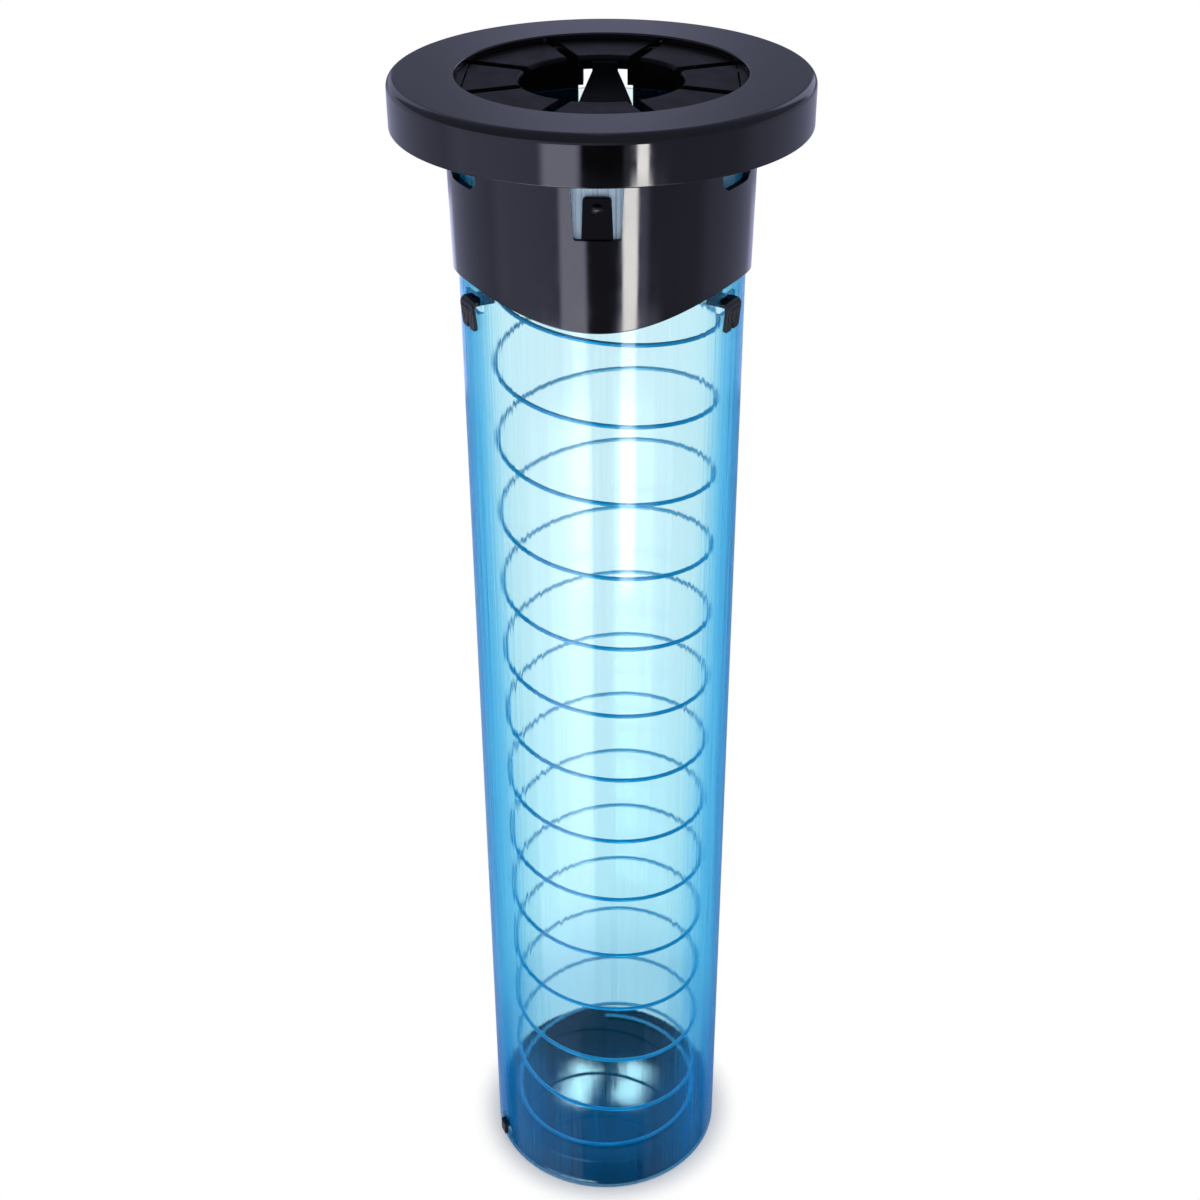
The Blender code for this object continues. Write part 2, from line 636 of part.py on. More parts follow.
def slot_outline(top, bottom):
    """A tube slot: square at the top, its lower corners cut off."""
    return [
        (-SLOT_HALF_WIDTH + SLOT_CORNER, bottom),
        (SLOT_HALF_WIDTH - SLOT_CORNER, bottom),
        (SLOT_HALF_WIDTH, bottom + SLOT_CORNER),
        (SLOT_HALF_WIDTH, top),
        (-SLOT_HALF_WIDTH, top),
        (-SLOT_HALF_WIDTH, bottom + SLOT_CORNER),
    ]


def clip_azimuths():
    return [CLIP_AZIMUTH + 2 * math.pi * i / CLIP_COUNT for i in range(CLIP_COUNT)]


def dispenser_tube(collection, cutters, finish):
    profile = ring_profile(TUBE_BORE_RADIUS, TUBE_RADIUS, height(TUBE_TOP_DEPTH), 0)
    tube = turned("dispenser_tube", profile, collection, finish)
    bar_bottom = ARM_HOOK_BAR_TOP_DEPTH + ARM_HOOK_THICKNESS
    arm_slot = (
        height(ARM_HOOK_BAR_TOP_DEPTH - ARM_SLOT_HEADROOM),
        height(bar_bottom + ARM_SLOT_FOOTROOM),
    )
    clip_slot = (CLIP_BAR_TOP + CLIP_SLOT_HEADROOM, CLIP_BAR_BOTTOM - CLIP_SLOT_FOOTROOM)
    slots = [(azimuth, *arm_slot) for azimuth in ARM_AZIMUTHS]
    slots += [(azimuth, *clip_slot) for azimuth in clip_azimuths()]
    for number, (azimuth, top, bottom) in enumerate(slots, 1):
        cut_window(tube, f"tube_slot_{number}_cutter", slot_outline(top, bottom), azimuth, cutters)
    return tube


def eased(start, end, share):
    """A smooth step between two values, level at both ends."""
    return start + (end - start) * (1 - math.cos(math.pi * share)) / 2


def arm_leaf_path():
    """The middle of the leaf, from the barrel down to the hook's bar, as (radius, height) pairs."""
    axis, bow = ARM_AXIS_DEPTH, ARM_BOW_DEPTH
    foot = ARM_HOOK_BAR_TOP_DEPTH + ARM_HOOK_THICKNESS / 2
    start = axis + ARM_NECK_SHARE * (bow - axis)
    upper = [i / ARM_LEAF_STEPS for i in range(ARM_LEAF_STEPS)]
    lower = [i / ARM_LEAF_STEPS for i in range(ARM_LEAF_STEPS + 1)]
    leaf = [(eased(ARM_HEAD_RADIUS, ARM_BOW_RADIUS, t), height(start + (bow - start) * t)) for t in upper]
    leaf += [(eased(ARM_BOW_RADIUS, ARM_FOOT_RADIUS, t), height(bow + (foot - bow) * t)) for t in lower]
    head = [(ARM_AXIS_RADIUS, height(axis)), (ARM_HEAD_RADIUS, height(axis)), leaf[0]]
    return rounded_path(head, ARM_LEAF_THICKNESS) + leaf[1:]


def hook_leg_point(depth):
    """The middle of the hook's leg, which leans in towards the tube on its way down."""
    top = ARM_HOOK_BAR_TOP_DEPTH + ARM_HOOK_THICKNESS / 2
    lean = ARM_HOOK_LEAN * (depth - top) / (ARM_HOOK_TIP_DEPTH - top)
    return (ARM_HOOK_OUTER_RADIUS - ARM_HOOK_THICKNESS / 2 - lean, height(depth))


def arm_hook_path():
    corner = hook_leg_point(ARM_HOOK_BAR_TOP_DEPTH + ARM_HOOK_THICKNESS / 2)
    start = (ARM_FOOT_RADIUS - ARM_LEAF_THICKNESS / 2, corner[1])
    return rounded_path([start, corner, hook_leg_point(ARM_HOOK_TIP_DEPTH)], ARM_HOOK_BEND)


def arm_ridge_path():
    """The middle of the ridge on the leg, as far out of the leg's middle as the ridge is high."""
    top = hook_leg_point(ARM_HOOK_BAR_TOP_DEPTH + ARM_HOOK_BEND)
    bottom = hook_leg_point(ARM_HOOK_TIP_DEPTH - ARM_NOTCH_HEIGHT)
    return [(radius + ARM_RIDGE_HEIGHT, z) for radius, z in (top, bottom)]


def arm_front_outline():
    """The arm's outline seen from the axis: a narrow neck, a wide leaf, and the hook's own width."""
    mid_depth = (ARM_BOW_DEPTH + ARM_HOOK_BAR_TOP_DEPTH) / 2
    wide_top_depth = (ARM_BOW_DEPTH + CARRIER_NOTCH_DEPTH) / 2
    right = [
        (ARM_NECK_HALF_WIDTH, height(ARM_AXIS_DEPTH) + ARM_LEAF_THICKNESS),
        (ARM_NECK_HALF_WIDTH, height(CARRIER_NOTCH_DEPTH)),
        (ARM_LEAF_HALF_WIDTH, height(wide_top_depth)),
        (ARM_LEAF_HALF_WIDTH, height(ARM_BOW_DEPTH)),
        (ARM_HOOK_HALF_WIDTH, height(mid_depth)),
        (ARM_HOOK_HALF_WIDTH, height(ARM_HOOK_TIP_DEPTH)),
    ]
    tip = height(ARM_HOOK_TIP_DEPTH)
    notch = [(ARM_NOTCH_HALF_WIDTH, tip), (0, tip + ARM_NOTCH_HEIGHT), (-ARM_NOTCH_HALF_WIDTH, tip)]
    return right + notch + [(-x, z) for x, z in right[::-1]]


def arm_barrel(name, collection):
    """The round bar across the top of an arm, which it hangs by."""
    mesh = bpy.data.meshes.new(name)
    work = bmesh.new()
    place = Matrix.Translation((0, -ARM_AXIS_RADIUS, height(ARM_AXIS_DEPTH)))
    bmesh.ops.create_cone(
        work,
        cap_ends=True,
        segments=PIN_STEPS,
        radius1=ARM_BARREL_RADIUS,
        radius2=ARM_BARREL_RADIUS,
        depth=2 * ARM_NECK_HALF_WIDTH,
        matrix=place @ Matrix.Rotation(math.pi / 2, 4, "Y"),
    )
    work.to_mesh(mesh)
    work.free()
    return new_object(name, mesh, collection)


def guide_arm(number, azimuth, collection, cutters, finish):
    """One guide arm. Its origin is on the barrel that it hangs by."""
    name = f"guide_arm_{number}"
    half_reach = ARM_LEAF_HALF_WIDTH + CUT_OVERRUN
    leaf = extruded(name, ribbon(arm_leaf_path(), ARM_LEAF_THICKNESS / 2), half_reach, collection)
    hook_outline = ribbon(arm_hook_path(), ARM_HOOK_THICKNESS / 2)
    hook = extruded(f"{name}_hook_cutter", hook_outline, half_reach, cutters)
    ridge_outline = ribbon(arm_ridge_path(), ARM_HOOK_THICKNESS / 2)
    ridge = extruded(f"{name}_ridge_cutter", ridge_outline, ARM_RIDGE_HALF_WIDTH, cutters)
    front = extruded(f"{name}_front_cutter", arm_front_outline(), RING_RADIUS, cutters)
    barrel = arm_barrel(f"{name}_barrel_cutter", cutters)
    for obj in (leaf, hook, ridge):
        reshape(obj, FACING_ACROSS)
    reshape(front, FACING_OUT)
    to_axis = Matrix.Translation((0, ARM_AXIS_RADIUS, -height(ARM_AXIS_DEPTH)))
    place = turn_about_axis(azimuth) @ to_axis.inverted()
    for obj in (leaf, hook, ridge, front, barrel):
        reshape(obj, to_axis)
        obj.matrix_world = place
    for obj in (hook, ridge, front, barrel):
        make_cutter(obj)
    boolean(leaf, hook, "UNION")
    boolean(leaf, front, "INTERSECT")
    boolean(leaf, ridge, "UNION")
    boolean(leaf, barrel, "UNION")
    leaf.data.materials.append(finish)
    return leaf


def pusher_plate(collection, finish):
    """The plate under the cups. Its skirt centres the top of the spring."""
    top, bottom = height(PUSHER_TOP_DEPTH), height(PUSHER_BOTTOM_DEPTH)
    skirt_bottom = height(PUSHER_BOTTOM_DEPTH + PUSHER_SKIRT_DEPTH)
    skirt_inner = PUSHER_SKIRT_RADIUS - PUSHER_SKIRT_WALL
    edge = PUSHER_EDGE_RADIUS
    profile = [
        (0, top - PUSHER_RECESS),
        (PUSHER_RECESS_RADIUS, top - PUSHER_RECESS),
        (PUSHER_RECESS_RADIUS + PUSHER_RECESS, top),
        *arc((PUSHER_RADIUS - edge, top - edge), edge, math.pi / 2, 0, EDGE_STEPS),
        (PUSHER_RADIUS, bottom),
        (PUSHER_SKIRT_RADIUS, bottom),
        (PUSHER_SKIRT_RADIUS, skirt_bottom),
        (skirt_inner, skirt_bottom),
        (skirt_inner, bottom),
        (0, bottom),
    ]
    return turned("pusher_plate", profile, collection, finish, closed=False)


def spring_rise(turns, total):
    """The pitches climbed after some turns: flat ends, a short blend, then an even climb."""

    def climbed(u):
        if u < 0:
            return 0.0
        if u < SPRING_BLEND_TURNS:
            return u * u / (2 * SPRING_BLEND_TURNS)
        return u - SPRING_BLEND_TURNS / 2

    upper_start = total - SPRING_END_TURNS - SPRING_BLEND_TURNS
    return climbed(turns - SPRING_END_TURNS) - climbed(turns - upper_start)


def spring_points():
    low = PLUG_HEIGHT + CLEARANCE + SPRING_WIRE_RADIUS
    high = height(PUSHER_BOTTOM_DEPTH) - CLEARANCE - SPRING_WIRE_RADIUS
    total = (high - low) / SPRING_PITCH + 2 * SPRING_END_TURNS + SPRING_BLEND_TURNS
    count = math.ceil(total * SPRING_POINTS_PER_TURN)
    points = []
    for i in range(count + 1):
        turns = total * i / count
        azimuth = SPRING_LOWER_END_AZIMUTH - 2 * math.pi * turns
        z = low + SPRING_PITCH * spring_rise(turns, total)
        across, along = SPRING_RADIUS * math.sin(azimuth), -SPRING_RADIUS * math.cos(azimuth)
        points.append(Vector((across, along, z)))
    return points


def least_gap(points):
    """The least gap between stretches of the wire that are half a turn or more apart."""
    apart = SPRING_POINTS_PER_TURN // 2
    least = min((p - q).length for i, p in enumerate(points) for q in points[i + apart :])
    return least - 2 * SPRING_WIRE_RADIUS


def lift_spring(collection, finish):
    points = spring_points()
    gap = least_gap(points)
    print(f"lift_spring: least gap to itself {gap * 1000:.2f} mm")
    assert gap > SPRING_LEAST_GAP
    curve = bpy.data.curves.new("lift_spring", "CURVE")
    curve.dimensions = "3D"
    curve.bevel_depth = SPRING_WIRE_RADIUS
    curve.bevel_resolution = 1
    curve.use_fill_caps = True
    spline = curve.splines.new("POLY")
    spline.points.add(len(points) - 1)
    for point, place in zip(spline.points, points):
        point.co = (*place, 1.0)
    return new_object("lift_spring", curve, collection, finish)


def base_plug(collection, cutters, finish):
    """An upturned cup that closes the tube, with a pocket in its wall for each clip."""
    top = PLUG_HEIGHT
    edge, wall = PLUG_EDGE_RADIUS, PLUG_WALL
    profile = [
        (0, top),
        *arc((PLUG_RADIUS - edge, top - edge), edge, math.pi / 2, 0, CORNER_STEPS),
        (PLUG_RADIUS, 0),
        (PLUG_RADIUS - wall, 0),
        (PLUG_RADIUS - wall, top - wall),
        (0, top - wall),
    ]
    plug = turned("base_plug", profile, collection, finish, closed=False)
    half = CLIP_HALF_WIDTH + CLEARANCE
    low, high = CLIP_BAR_BOTTOM - CLEARANCE, CLIP_BAR_TOP + CLEARANCE
    for number, azimuth in enumerate(clip_azimuths(), 1):
        outline = [(-half, low), (half, low), (half, high), (-half, high)]
        cut_window(plug, f"plug_pocket_{number}_cutter", outline, azimuth, cutters)
    return plug


def base_clip(number, azimuth, collection, finish):
    """A clip that hooks down over the plug's wall inside and over the tube's wall outside."""
    leg = CLIP_LEG_THICKNESS
    outer_face = TUBE_RADIUS + CLEARANCE
    inner_face = PLUG_RADIUS - PLUG_WALL - CLEARANCE
    top, bar = CLIP_BAR_TOP, CLIP_BAR_BOTTOM
    side = [
        (inner_face - leg, top),
        (outer_face + leg, top),
        (outer_face + leg, bar - CLIP_OUTER_REACH),
        (outer_face, bar - CLIP_OUTER_REACH),
        (outer_face, bar),
        (inner_face, bar),
        (inner_face, bar - CLIP_INNER_REACH),
        (inner_face - leg, bar - CLIP_INNER_REACH),
    ]
    clip = extruded(f"base_clip_{number}", side, CLIP_HALF_WIDTH, collection)
    reshape(clip, turn_about_axis(azimuth) @ FACING_ACROSS)
    clip.data.materials.append(finish)
    return clip


def build():
    clear_scene()
    parts = new_collection("cup_dispenser")
    cutters = new_collection("cutters")
    black = plastic("black_abs", (0.012, 0.012, 0.014), 0.22)
    rubber = plastic("black_finger_plastic", (0.010, 0.010, 0.012), 0.38)
    blue = plastic("blue_polycarbonate", (0.22, 0.62, 0.90), 0.05, transmission=0.9)
    steel = plastic("spring_steel", (0.45, 0.45, 0.46), 0.28, metallic=1.0)
    hinge_octagon(cutters)
    trim_ring(parts, black)
    finger_gasket_rim(parts, rubber)
    for number in range(1, FINGER_COUNT + 1):
        finger(number, parts, cutters, rubber)
    carrier_ring(parts, cutters, black)
    mounting_collar(parts, cutters, black)
    for number, azimuth in enumerate(TAB_AZIMUTHS, 1):
        counter_tab(number, azimuth, parts, cutters, black)
    dispenser_tube(parts, cutters, blue)
    for number, azimuth in enumerate(ARM_AZIMUTHS, 1):
        guide_arm(number, azimuth, parts, cutters, black)
    pusher_plate(parts, black)
    lift_spring(parts, steel)
    base_plug(parts, cutters, black)
    for number, azimuth in enumerate(clip_azimuths(), 1):
        base_clip(number, azimuth, parts, black)
    for obj in parts.objects:
        if obj.type == "MESH":
            smooth_by_angle(obj)


build()
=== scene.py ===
"""Looks of the cup dispenser: black moulded head with eight fingers, clear blue tube, spring and base.

Metres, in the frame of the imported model. An azimuth is 0 at the front, -Y, and grows towards +X. A
depth is measured down from the top face of the trim ring.
"""

import math

import bmesh
import bpy
from mathutils import Matrix, Vector


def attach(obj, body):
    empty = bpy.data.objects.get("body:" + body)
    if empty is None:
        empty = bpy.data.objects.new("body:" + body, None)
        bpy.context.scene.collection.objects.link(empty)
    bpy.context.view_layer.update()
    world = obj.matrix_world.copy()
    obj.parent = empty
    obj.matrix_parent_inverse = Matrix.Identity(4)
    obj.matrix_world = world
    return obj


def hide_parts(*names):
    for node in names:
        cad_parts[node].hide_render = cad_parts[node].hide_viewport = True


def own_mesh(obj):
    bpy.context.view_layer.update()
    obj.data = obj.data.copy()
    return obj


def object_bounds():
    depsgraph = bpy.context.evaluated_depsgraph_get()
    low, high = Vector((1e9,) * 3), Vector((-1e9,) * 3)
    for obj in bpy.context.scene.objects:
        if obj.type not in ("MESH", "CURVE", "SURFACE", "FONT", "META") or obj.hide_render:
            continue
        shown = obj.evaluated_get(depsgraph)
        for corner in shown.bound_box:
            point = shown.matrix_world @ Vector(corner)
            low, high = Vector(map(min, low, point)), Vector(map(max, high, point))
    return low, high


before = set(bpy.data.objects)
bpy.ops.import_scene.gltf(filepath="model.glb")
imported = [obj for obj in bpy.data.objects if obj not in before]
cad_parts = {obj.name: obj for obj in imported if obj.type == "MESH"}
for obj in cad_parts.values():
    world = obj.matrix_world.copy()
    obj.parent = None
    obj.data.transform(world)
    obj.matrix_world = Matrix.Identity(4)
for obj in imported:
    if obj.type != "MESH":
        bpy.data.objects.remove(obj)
cad_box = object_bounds()
TOP = cad_box[1].z

ROUND_STEPS = 192
ARM_AZIMUTHS = [math.radians(angle) for angle in (-60.0, 60.0, 180.0)]
TAB_AZIMUTHS = [math.radians(angle) for angle in (0.0, 120.0, -120.0)]
LUG_AZIMUTHS = [math.radians(angle) for angle in (30.0, 150.0, -90.0)]
CLIP_AZIMUTHS = [math.radians(angle) for angle in (-64.5, 115.5)]
QUARTER = math.pi / 2
# Faces that meet at less than this are shaded as one
SOFT_ANGLE = math.radians(32.0)
# Corners rounded by less than this stay sharp
LEAST_CUT = 1e-6


def height(depth):
    """The height above the ground of a depth under the ring's top face."""
    return TOP - depth


# Mesh helpers


def new_piece(name, mesh):
    piece = bpy.data.objects.new(name, mesh)
    bpy.context.scene.collection.objects.link(piece)
    return piece


def piece_from(name, work, weld=1e-7):
    """A piece from a bmesh, welded and with its faces turned outwards."""
    bmesh.ops.remove_doubles(work, verts=work.verts, dist=weld)
    bmesh.ops.recalc_face_normals(work, faces=work.faces)
    mesh = bpy.data.meshes.new(name)
    work.to_mesh(mesh)
    work.free()
    return new_piece(name, mesh)


def arc(center, radius, start, end, steps):
    """Points on an arc, its first and last ones with them."""
    points = []
    for i in range(steps + 1):
        angle = start + (end - start) * i / steps
        points.append((center[0] + radius * math.cos(angle), center[1] + radius * math.sin(angle)))
    return points


def lathe(name, profile, closed=True, steps=ROUND_STEPS, edge=None):
    """A turned piece from (radius, height) pairs. edge moves a point's height by its azimuth."""
    work = bmesh.new()
    rings = []
    for i in range(steps):
        azimuth = 2 * math.pi * i / steps
        ring = []
        for k, (radius, z) in enumerate(profile):
            moved = z + (edge(k, azimuth) if edge else 0.0)
            across, along = radius * math.sin(azimuth), -radius * math.cos(azimuth)
            ring.append(work.verts.new((across, along, moved)))
        rings.append(ring)
    spans = len(profile) if closed else len(profile) - 1
    for i in range(steps):
        here, ahead = rings[i], rings[(i + 1) % steps]
        for k in range(spans):
            n = (k + 1) % len(profile)
            work.faces.new((here[k], ahead[k], ahead[n], here[n]))
    return piece_from(name, work)


def prism(name, outline, low, high, place=None):
    """A closed outline in the local XY plane, run along local Z from low to high."""
    work = bmesh.new()
    bottom = [work.verts.new((x, y, low)) for x, y in outline]
    top = [work.verts.new((x, y, high)) for x, y in outline]
    work.faces.new(bottom)
    work.faces.new(top)
    for i in range(len(outline)):
        n = (i + 1) % len(outline)
        work.faces.new((bottom[i], bottom[n], top[n], top[i]))
    if place is not None:
        bmesh.ops.transform(work, matrix=place, verts=work.verts)
    return piece_from(name, work)


def turn(azimuth):
    """Turns what stands at the front to an azimuth."""
    return Matrix.Rotation(azimuth, 4, "Z")


# The first lays an outline of (across, up) facing out at the front, the second one of (outwards, up)
# across the front.
FACING_OUT = Matrix(((1, 0, 0, 0), (0, 0, -1, 0), (0, 1, 0, 0), (0, 0, 0, 1)))
FACING_ACROSS = Matrix(((0, 0, -1, 0), (-1, 0, 0, 0), (0, 1, 0, 0), (0, 0, 0, 1)))


def carve(target, tools, operation="DIFFERENCE"):
    """Cuts, adds or keeps the tools' space, all in one go, and removes the tools."""
    work = bmesh.new()
    for tool in tools:
        work.from_mesh(tool.data)
        bpy.data.objects.remove(tool)
    tool = piece_from("tool", work)
    modifier = target.modifiers.new("carve", "BOOLEAN")
    modifier.operation = operation
    modifier.solver = "EXACT"
    modifier.object = tool
    graph = bpy.context.evaluated_depsgraph_get()
    mesh = bpy.data.meshes.new_from_object(target.evaluated_get(graph))
    target.modifiers.clear()
    target.data = mesh
    bpy.data.objects.remove(tool)
    return target


def smooth(piece, angle=SOFT_ANGLE):
    """Shades a piece smoothly. Its flat walls stay flat up to their rounded edges."""
    piece.data.shade_smooth()
    piece.data.set_sharp_from_angle(angle=angle)
    flat = piece.modifiers.new("flat_walls", "WEIGHTED_NORMAL")
    flat.keep_sharp = True
    return piece


def soften(piece, width, segments=2, angle=SOFT_ANGLE):
    """Small rounded edges, as any moulding has."""
    bevel = piece.modifiers.new("rounded_edges", "BEVEL")
    bevel.width = width
    bevel.segments = segments
    bevel.limit_method = "ANGLE"
    bevel.angle_limit = angle
    return smooth(piece, angle)


def rounded(corners, radius, closed=True, steps=6):
    """The corners of an outline or a path, each rounded by a short curve."""
    points = []
    count = len(corners)
    for i in range(count):
        corner = Vector(corners[i])
        if not closed and i in (0, count - 1):
            points.append(tuple(corner))
            continue
        size = radius[i] if isinstance(radius, (list, tuple)) else radius
        before = Vector(corners[i - 1]) - corner
        after = Vector(corners[(i + 1) % count]) - corner
        cut = min(size, before.length / 2, after.length / 2)
        if cut < LEAST_CUT:
            points.append(tuple(corner))
            continue
        start = corner + before.normalized() * cut
        end = corner + after.normalized() * cut
        for step in range(steps + 1):
            t = step / steps
            point = start * (1 - t) ** 2 + corner * 2 * t * (1 - t) + end * t**2
            points.append(tuple(point))
    return points


def ribbon(path, half):
    """The outline of a strip of even thickness along a path."""
    left, right = [], []
    for i, point in enumerate(path):
        ahead = Vector(path[min(i + 1, len(path) - 1)])
        behind = Vector(path[max(i - 1, 0)])
        along = (ahead - behind).normalized()
        across = Vector((-along.y, along.x)) * half
        left.append(tuple(Vector(point) + across))
        right.append(tuple(Vector(point) - across))
    return left + right[::-1]


def window(name, outline, azimuth, middle=0.069, reach=0.016):
    """A tool that cuts an outline of (across, up) through the round wall at an azimuth."""
    place = turn(azimuth) @ Matrix.Translation((0, -middle, 0)) @ FACING_OUT
    return prism(name, outline, -reach, reach, place)


# Materials


def linear(code):
    """The linear colour of an sRGB hex value."""
    values = [int(code[i : i + 2], 16) / 255 for i in (1, 3, 5)]
    return tuple(v / 12.92 if v <= 0.04045 else ((v + 0.055) / 1.055) ** 2.4 for v in values) + (1.0,)


def add(tree, kind, inputs=None, **settings):
    """Adds a node with its settings. An input is a value or another node's output."""
    made = tree.nodes.new(kind)
    for name, value in settings.items():
        setattr(made, name, value)
    for key, value in (inputs or {}).items():
        if isinstance(value, bpy.types.NodeSocket):
            tree.links.new(value, made.inputs[key])
        else:
            made.inputs[key].default_value = value
    return made


# For a map range that starts and ends softly
SOFTLY = {"interpolation_type": "SMOOTHSTEP"}


def material(name):
    made = bpy.data.materials.new(name)
    made.use_nodes = True
    made.node_tree.nodes.clear()
    return made, made.node_tree


def moulded_plastic(name, colour, low_rough, high_rough, wave_mm, wave_height, grain_height, sheen=0.5):
    """Moulded plastic: a shallow waviness from cooling, and a fine texture from the mould's wall."""
    made, tree = material(name)
    here = add(tree, "ShaderNodeTexCoord").outputs["Object"]
    # The waves are four times as long up the piece as across it
    across, along = 1000 / wave_mm, 250 / wave_mm
    waves = add(tree, "ShaderNodeMapping", {"Vector": here, "Scale": (across, across, along)})
    wavy = add(tree, "ShaderNodeTexNoise", {"Vector": waves.outputs[0], "Scale": 1.0, "Detail": 2.0})
    # Polish texture of about 0.6 mm, drawn coarser than the real one so that it shows
    grain = add(tree, "ShaderNodeTexNoise", {"Vector": here, "Scale": 1600.0, "Detail": 3.0})
    # Handling marks a few millimetres across, seen only as a change of gloss
    smears = add(tree, "ShaderNodeTexNoise", {"Vector": here, "Scale": 90.0, "Detail": 6.0})
    marks = {"Value": smears.outputs["Fac"], "From Min": 0.35, "From Max": 0.7}
    rough = add(tree, "ShaderNodeMapRange", {**marks, "To Min": low_rough, "To Max": high_rough})
    first = add(tree, "ShaderNodeBump", {"Height": wavy.outputs["Fac"], "Distance": wave_height})
    second = add(
        tree,
        "ShaderNodeBump",
        {"Height": grain.outputs["Fac"], "Distance": grain_height, "Normal": first.outputs[0]},
    )
    shader = add(
        tree,
        "ShaderNodeBsdfPrincipled",
        {
            "Base Color": linear(colour),
            "Roughness": rough.outputs[0],
            "IOR": 1.54,
            "Specular IOR Level": sheen,
            "Normal": second.outputs[0],
        },
    )
    add(tree, "ShaderNodeOutputMaterial", {"Surface": shader.outputs[0]})
    return made


def blue_polycarbonate():
    """Extruded polycarbonate, tinted blue. Clear, with lengthwise die lines, deeper blue where the eye
    looks along the wall, and a painted shade that deepens the tint in the lower half. A little of the
    light is caught in the tint, more so at the rims; low down, by the plug, more is caught in a darker
    blue, which is painted light and painted shade. The wall bends what is seen through it only slightly,
    and a coat gives it its gloss."""
    made, tree = material("extruded_blue_polycarbonate")
    here = add(tree, "ShaderNodeTexCoord").outputs["Object"]
    # Die lines 3 mm and 0.7 mm apart that run on for the length of the tube
    broad = add(tree, "ShaderNodeMapping", {"Vector": here, "Scale": (330.0, 330.0, 4.0)})
    fine = add(tree, "ShaderNodeMapping", {"Vector": here, "Scale": (1400.0, 1400.0, 6.0)})
    broad_lines = add(
        tree, "ShaderNodeTexNoise", {"Vector": broad.outputs[0], "Scale": 1.0, "Detail": 1.0}
    )
    fine_lines = add(tree, "ShaderNodeTexNoise", {"Vector": fine.outputs[0], "Scale": 1.0, "Detail": 2.0})
    # The lines are shallow at the lower end and full from 0.22 m up
    split = add(tree, "ShaderNodeSeparateXYZ", {0: here})
    level = split.outputs["Z"]
    rise = {"Value": level, "From Min": 0.11, "From Max": 0.22}
    broad_depth = add(tree, "ShaderNodeMapRange", {**rise, "To Min": 7e-5, "To Max": 3e-4})
    fine_depth = add(tree, "ShaderNodeMapRange", {**rise, "To Min": 4e-5, "To Max": 8e-5})
    first = add(
        tree, "ShaderNodeBump", {"Height": broad_lines.outputs["Fac"], "Distance": broad_depth.outputs[0]}
    )
    # The glossy coat has the broad lines only, and shallower
    skin = add(tree, "ShaderNodeBump", {"Height": broad_lines.outputs["Fac"], "Distance": 2e-5})
    second = add(
        tree,
        "ShaderNodeBump",
        {
            "Height": fine_lines.outputs["Fac"],
            "Distance": fine_depth.outputs[0],
            "Normal": first.outputs[0],
        },
    )
    # A grain finer than a pixel, which blurs what lies far behind the wall
    speck = add(tree, "ShaderNodeMapping", {"Vector": here, "Scale": (4000.0, 4000.0, 1500.0)})
    grain = add(tree, "ShaderNodeTexNoise", {"Vector": speck.outputs[0], "Scale": 1.0, "Detail": 1.0})
    third = add(
        tree,
        "ShaderNodeBump",
        {"Height": grain.outputs["Fac"], "Distance": 1.6e-5, "Normal": second.outputs[0]},
    )
    # Along the wall the tint is deep, as light that has run on inside it. The deeper tint in the lower
    # half is painted shade
    facing = add(tree, "ShaderNodeLayerWeight", {"Blend": 0.5})
    jitter = add(
        tree,
        "ShaderNodeMath",
        {0: fine_lines.outputs["Fac"], 1: 0.22, 2: -0.11},
        operation="MULTIPLY_ADD",
    )
    uneven = add(
        tree, "ShaderNodeMath", {0: facing.outputs["Facing"], 1: jitter.outputs[0]}, operation="ADD"
    )
    rim = add(
        tree,
        "ShaderNodeMapRange",
        {"Value": uneven.outputs[0], "From Min": 0.36, "From Max": 0.62},
        **SOFTLY,
    )
    # Painted shade: the tint deepens towards the lower half
    painted_shade_low_half = add(
        tree, "ShaderNodeMapRange", {"Value": level, "From Min": 0.45, "From Max": 0.15}, **SOFTLY
    )
    depth = add(
        tree,
        "ShaderNodeMix",
        {"Factor": painted_shade_low_half.outputs[0], "A": linear("#FFFFFF"), "B": linear("#F0FCFF")},
        data_type="RGBA",
    )
    deep = add(
        tree,
        "ShaderNodeMix",
        {"Factor": rim.outputs[0], "A": depth.outputs["Result"], "B": linear("#D4F6FE")},
        data_type="RGBA",
    )
    clear = add(
        tree,
        "ShaderNodeBsdfPrincipled",
        {
            "Base Color": deep.outputs["Result"],
            "Roughness": 0.0,
            "IOR": 1.08,
            "Transmission Weight": 1.0,
            "Coat Weight": 0.3,
            "Coat Roughness": 0.04,
            "Coat IOR": 1.5,
            "Normal": third.outputs[0],
            "Coat Normal": skin.outputs[0],
        },
    )
    # Rubbed dull behind the three tabs: the azimuth is taken from the back, so the lobes are negative
    azimuth = add(
        tree, "ShaderNodeMath", {0: split.outputs["X"], 1: split.outputs["Y"]}, operation="ARCTAN2"
    )
    tripled = add(tree, "ShaderNodeMath", {0: azimuth.outputs[0], 1: 3.0}, operation="MULTIPLY")
    lobes = add(tree, "ShaderNodeMath", {0: tripled.outputs[0]}, operation="COSINE")
    behind_tabs = add(
        tree,
        "ShaderNodeMapRange",
        {"Value": lobes.outputs[0], "From Min": -0.35, "From Max": -0.75},
        **SOFTLY,
    )
    at_top = add(
        tree, "ShaderNodeMapRange", {"Value": level, "From Min": 0.600, "From Max": 0.612}, **SOFTLY
    )
    rubbed = add(
        tree, "ShaderNodeMath", {0: at_top.outputs[0], 1: behind_tabs.outputs[0]}, operation="MULTIPLY"
    )
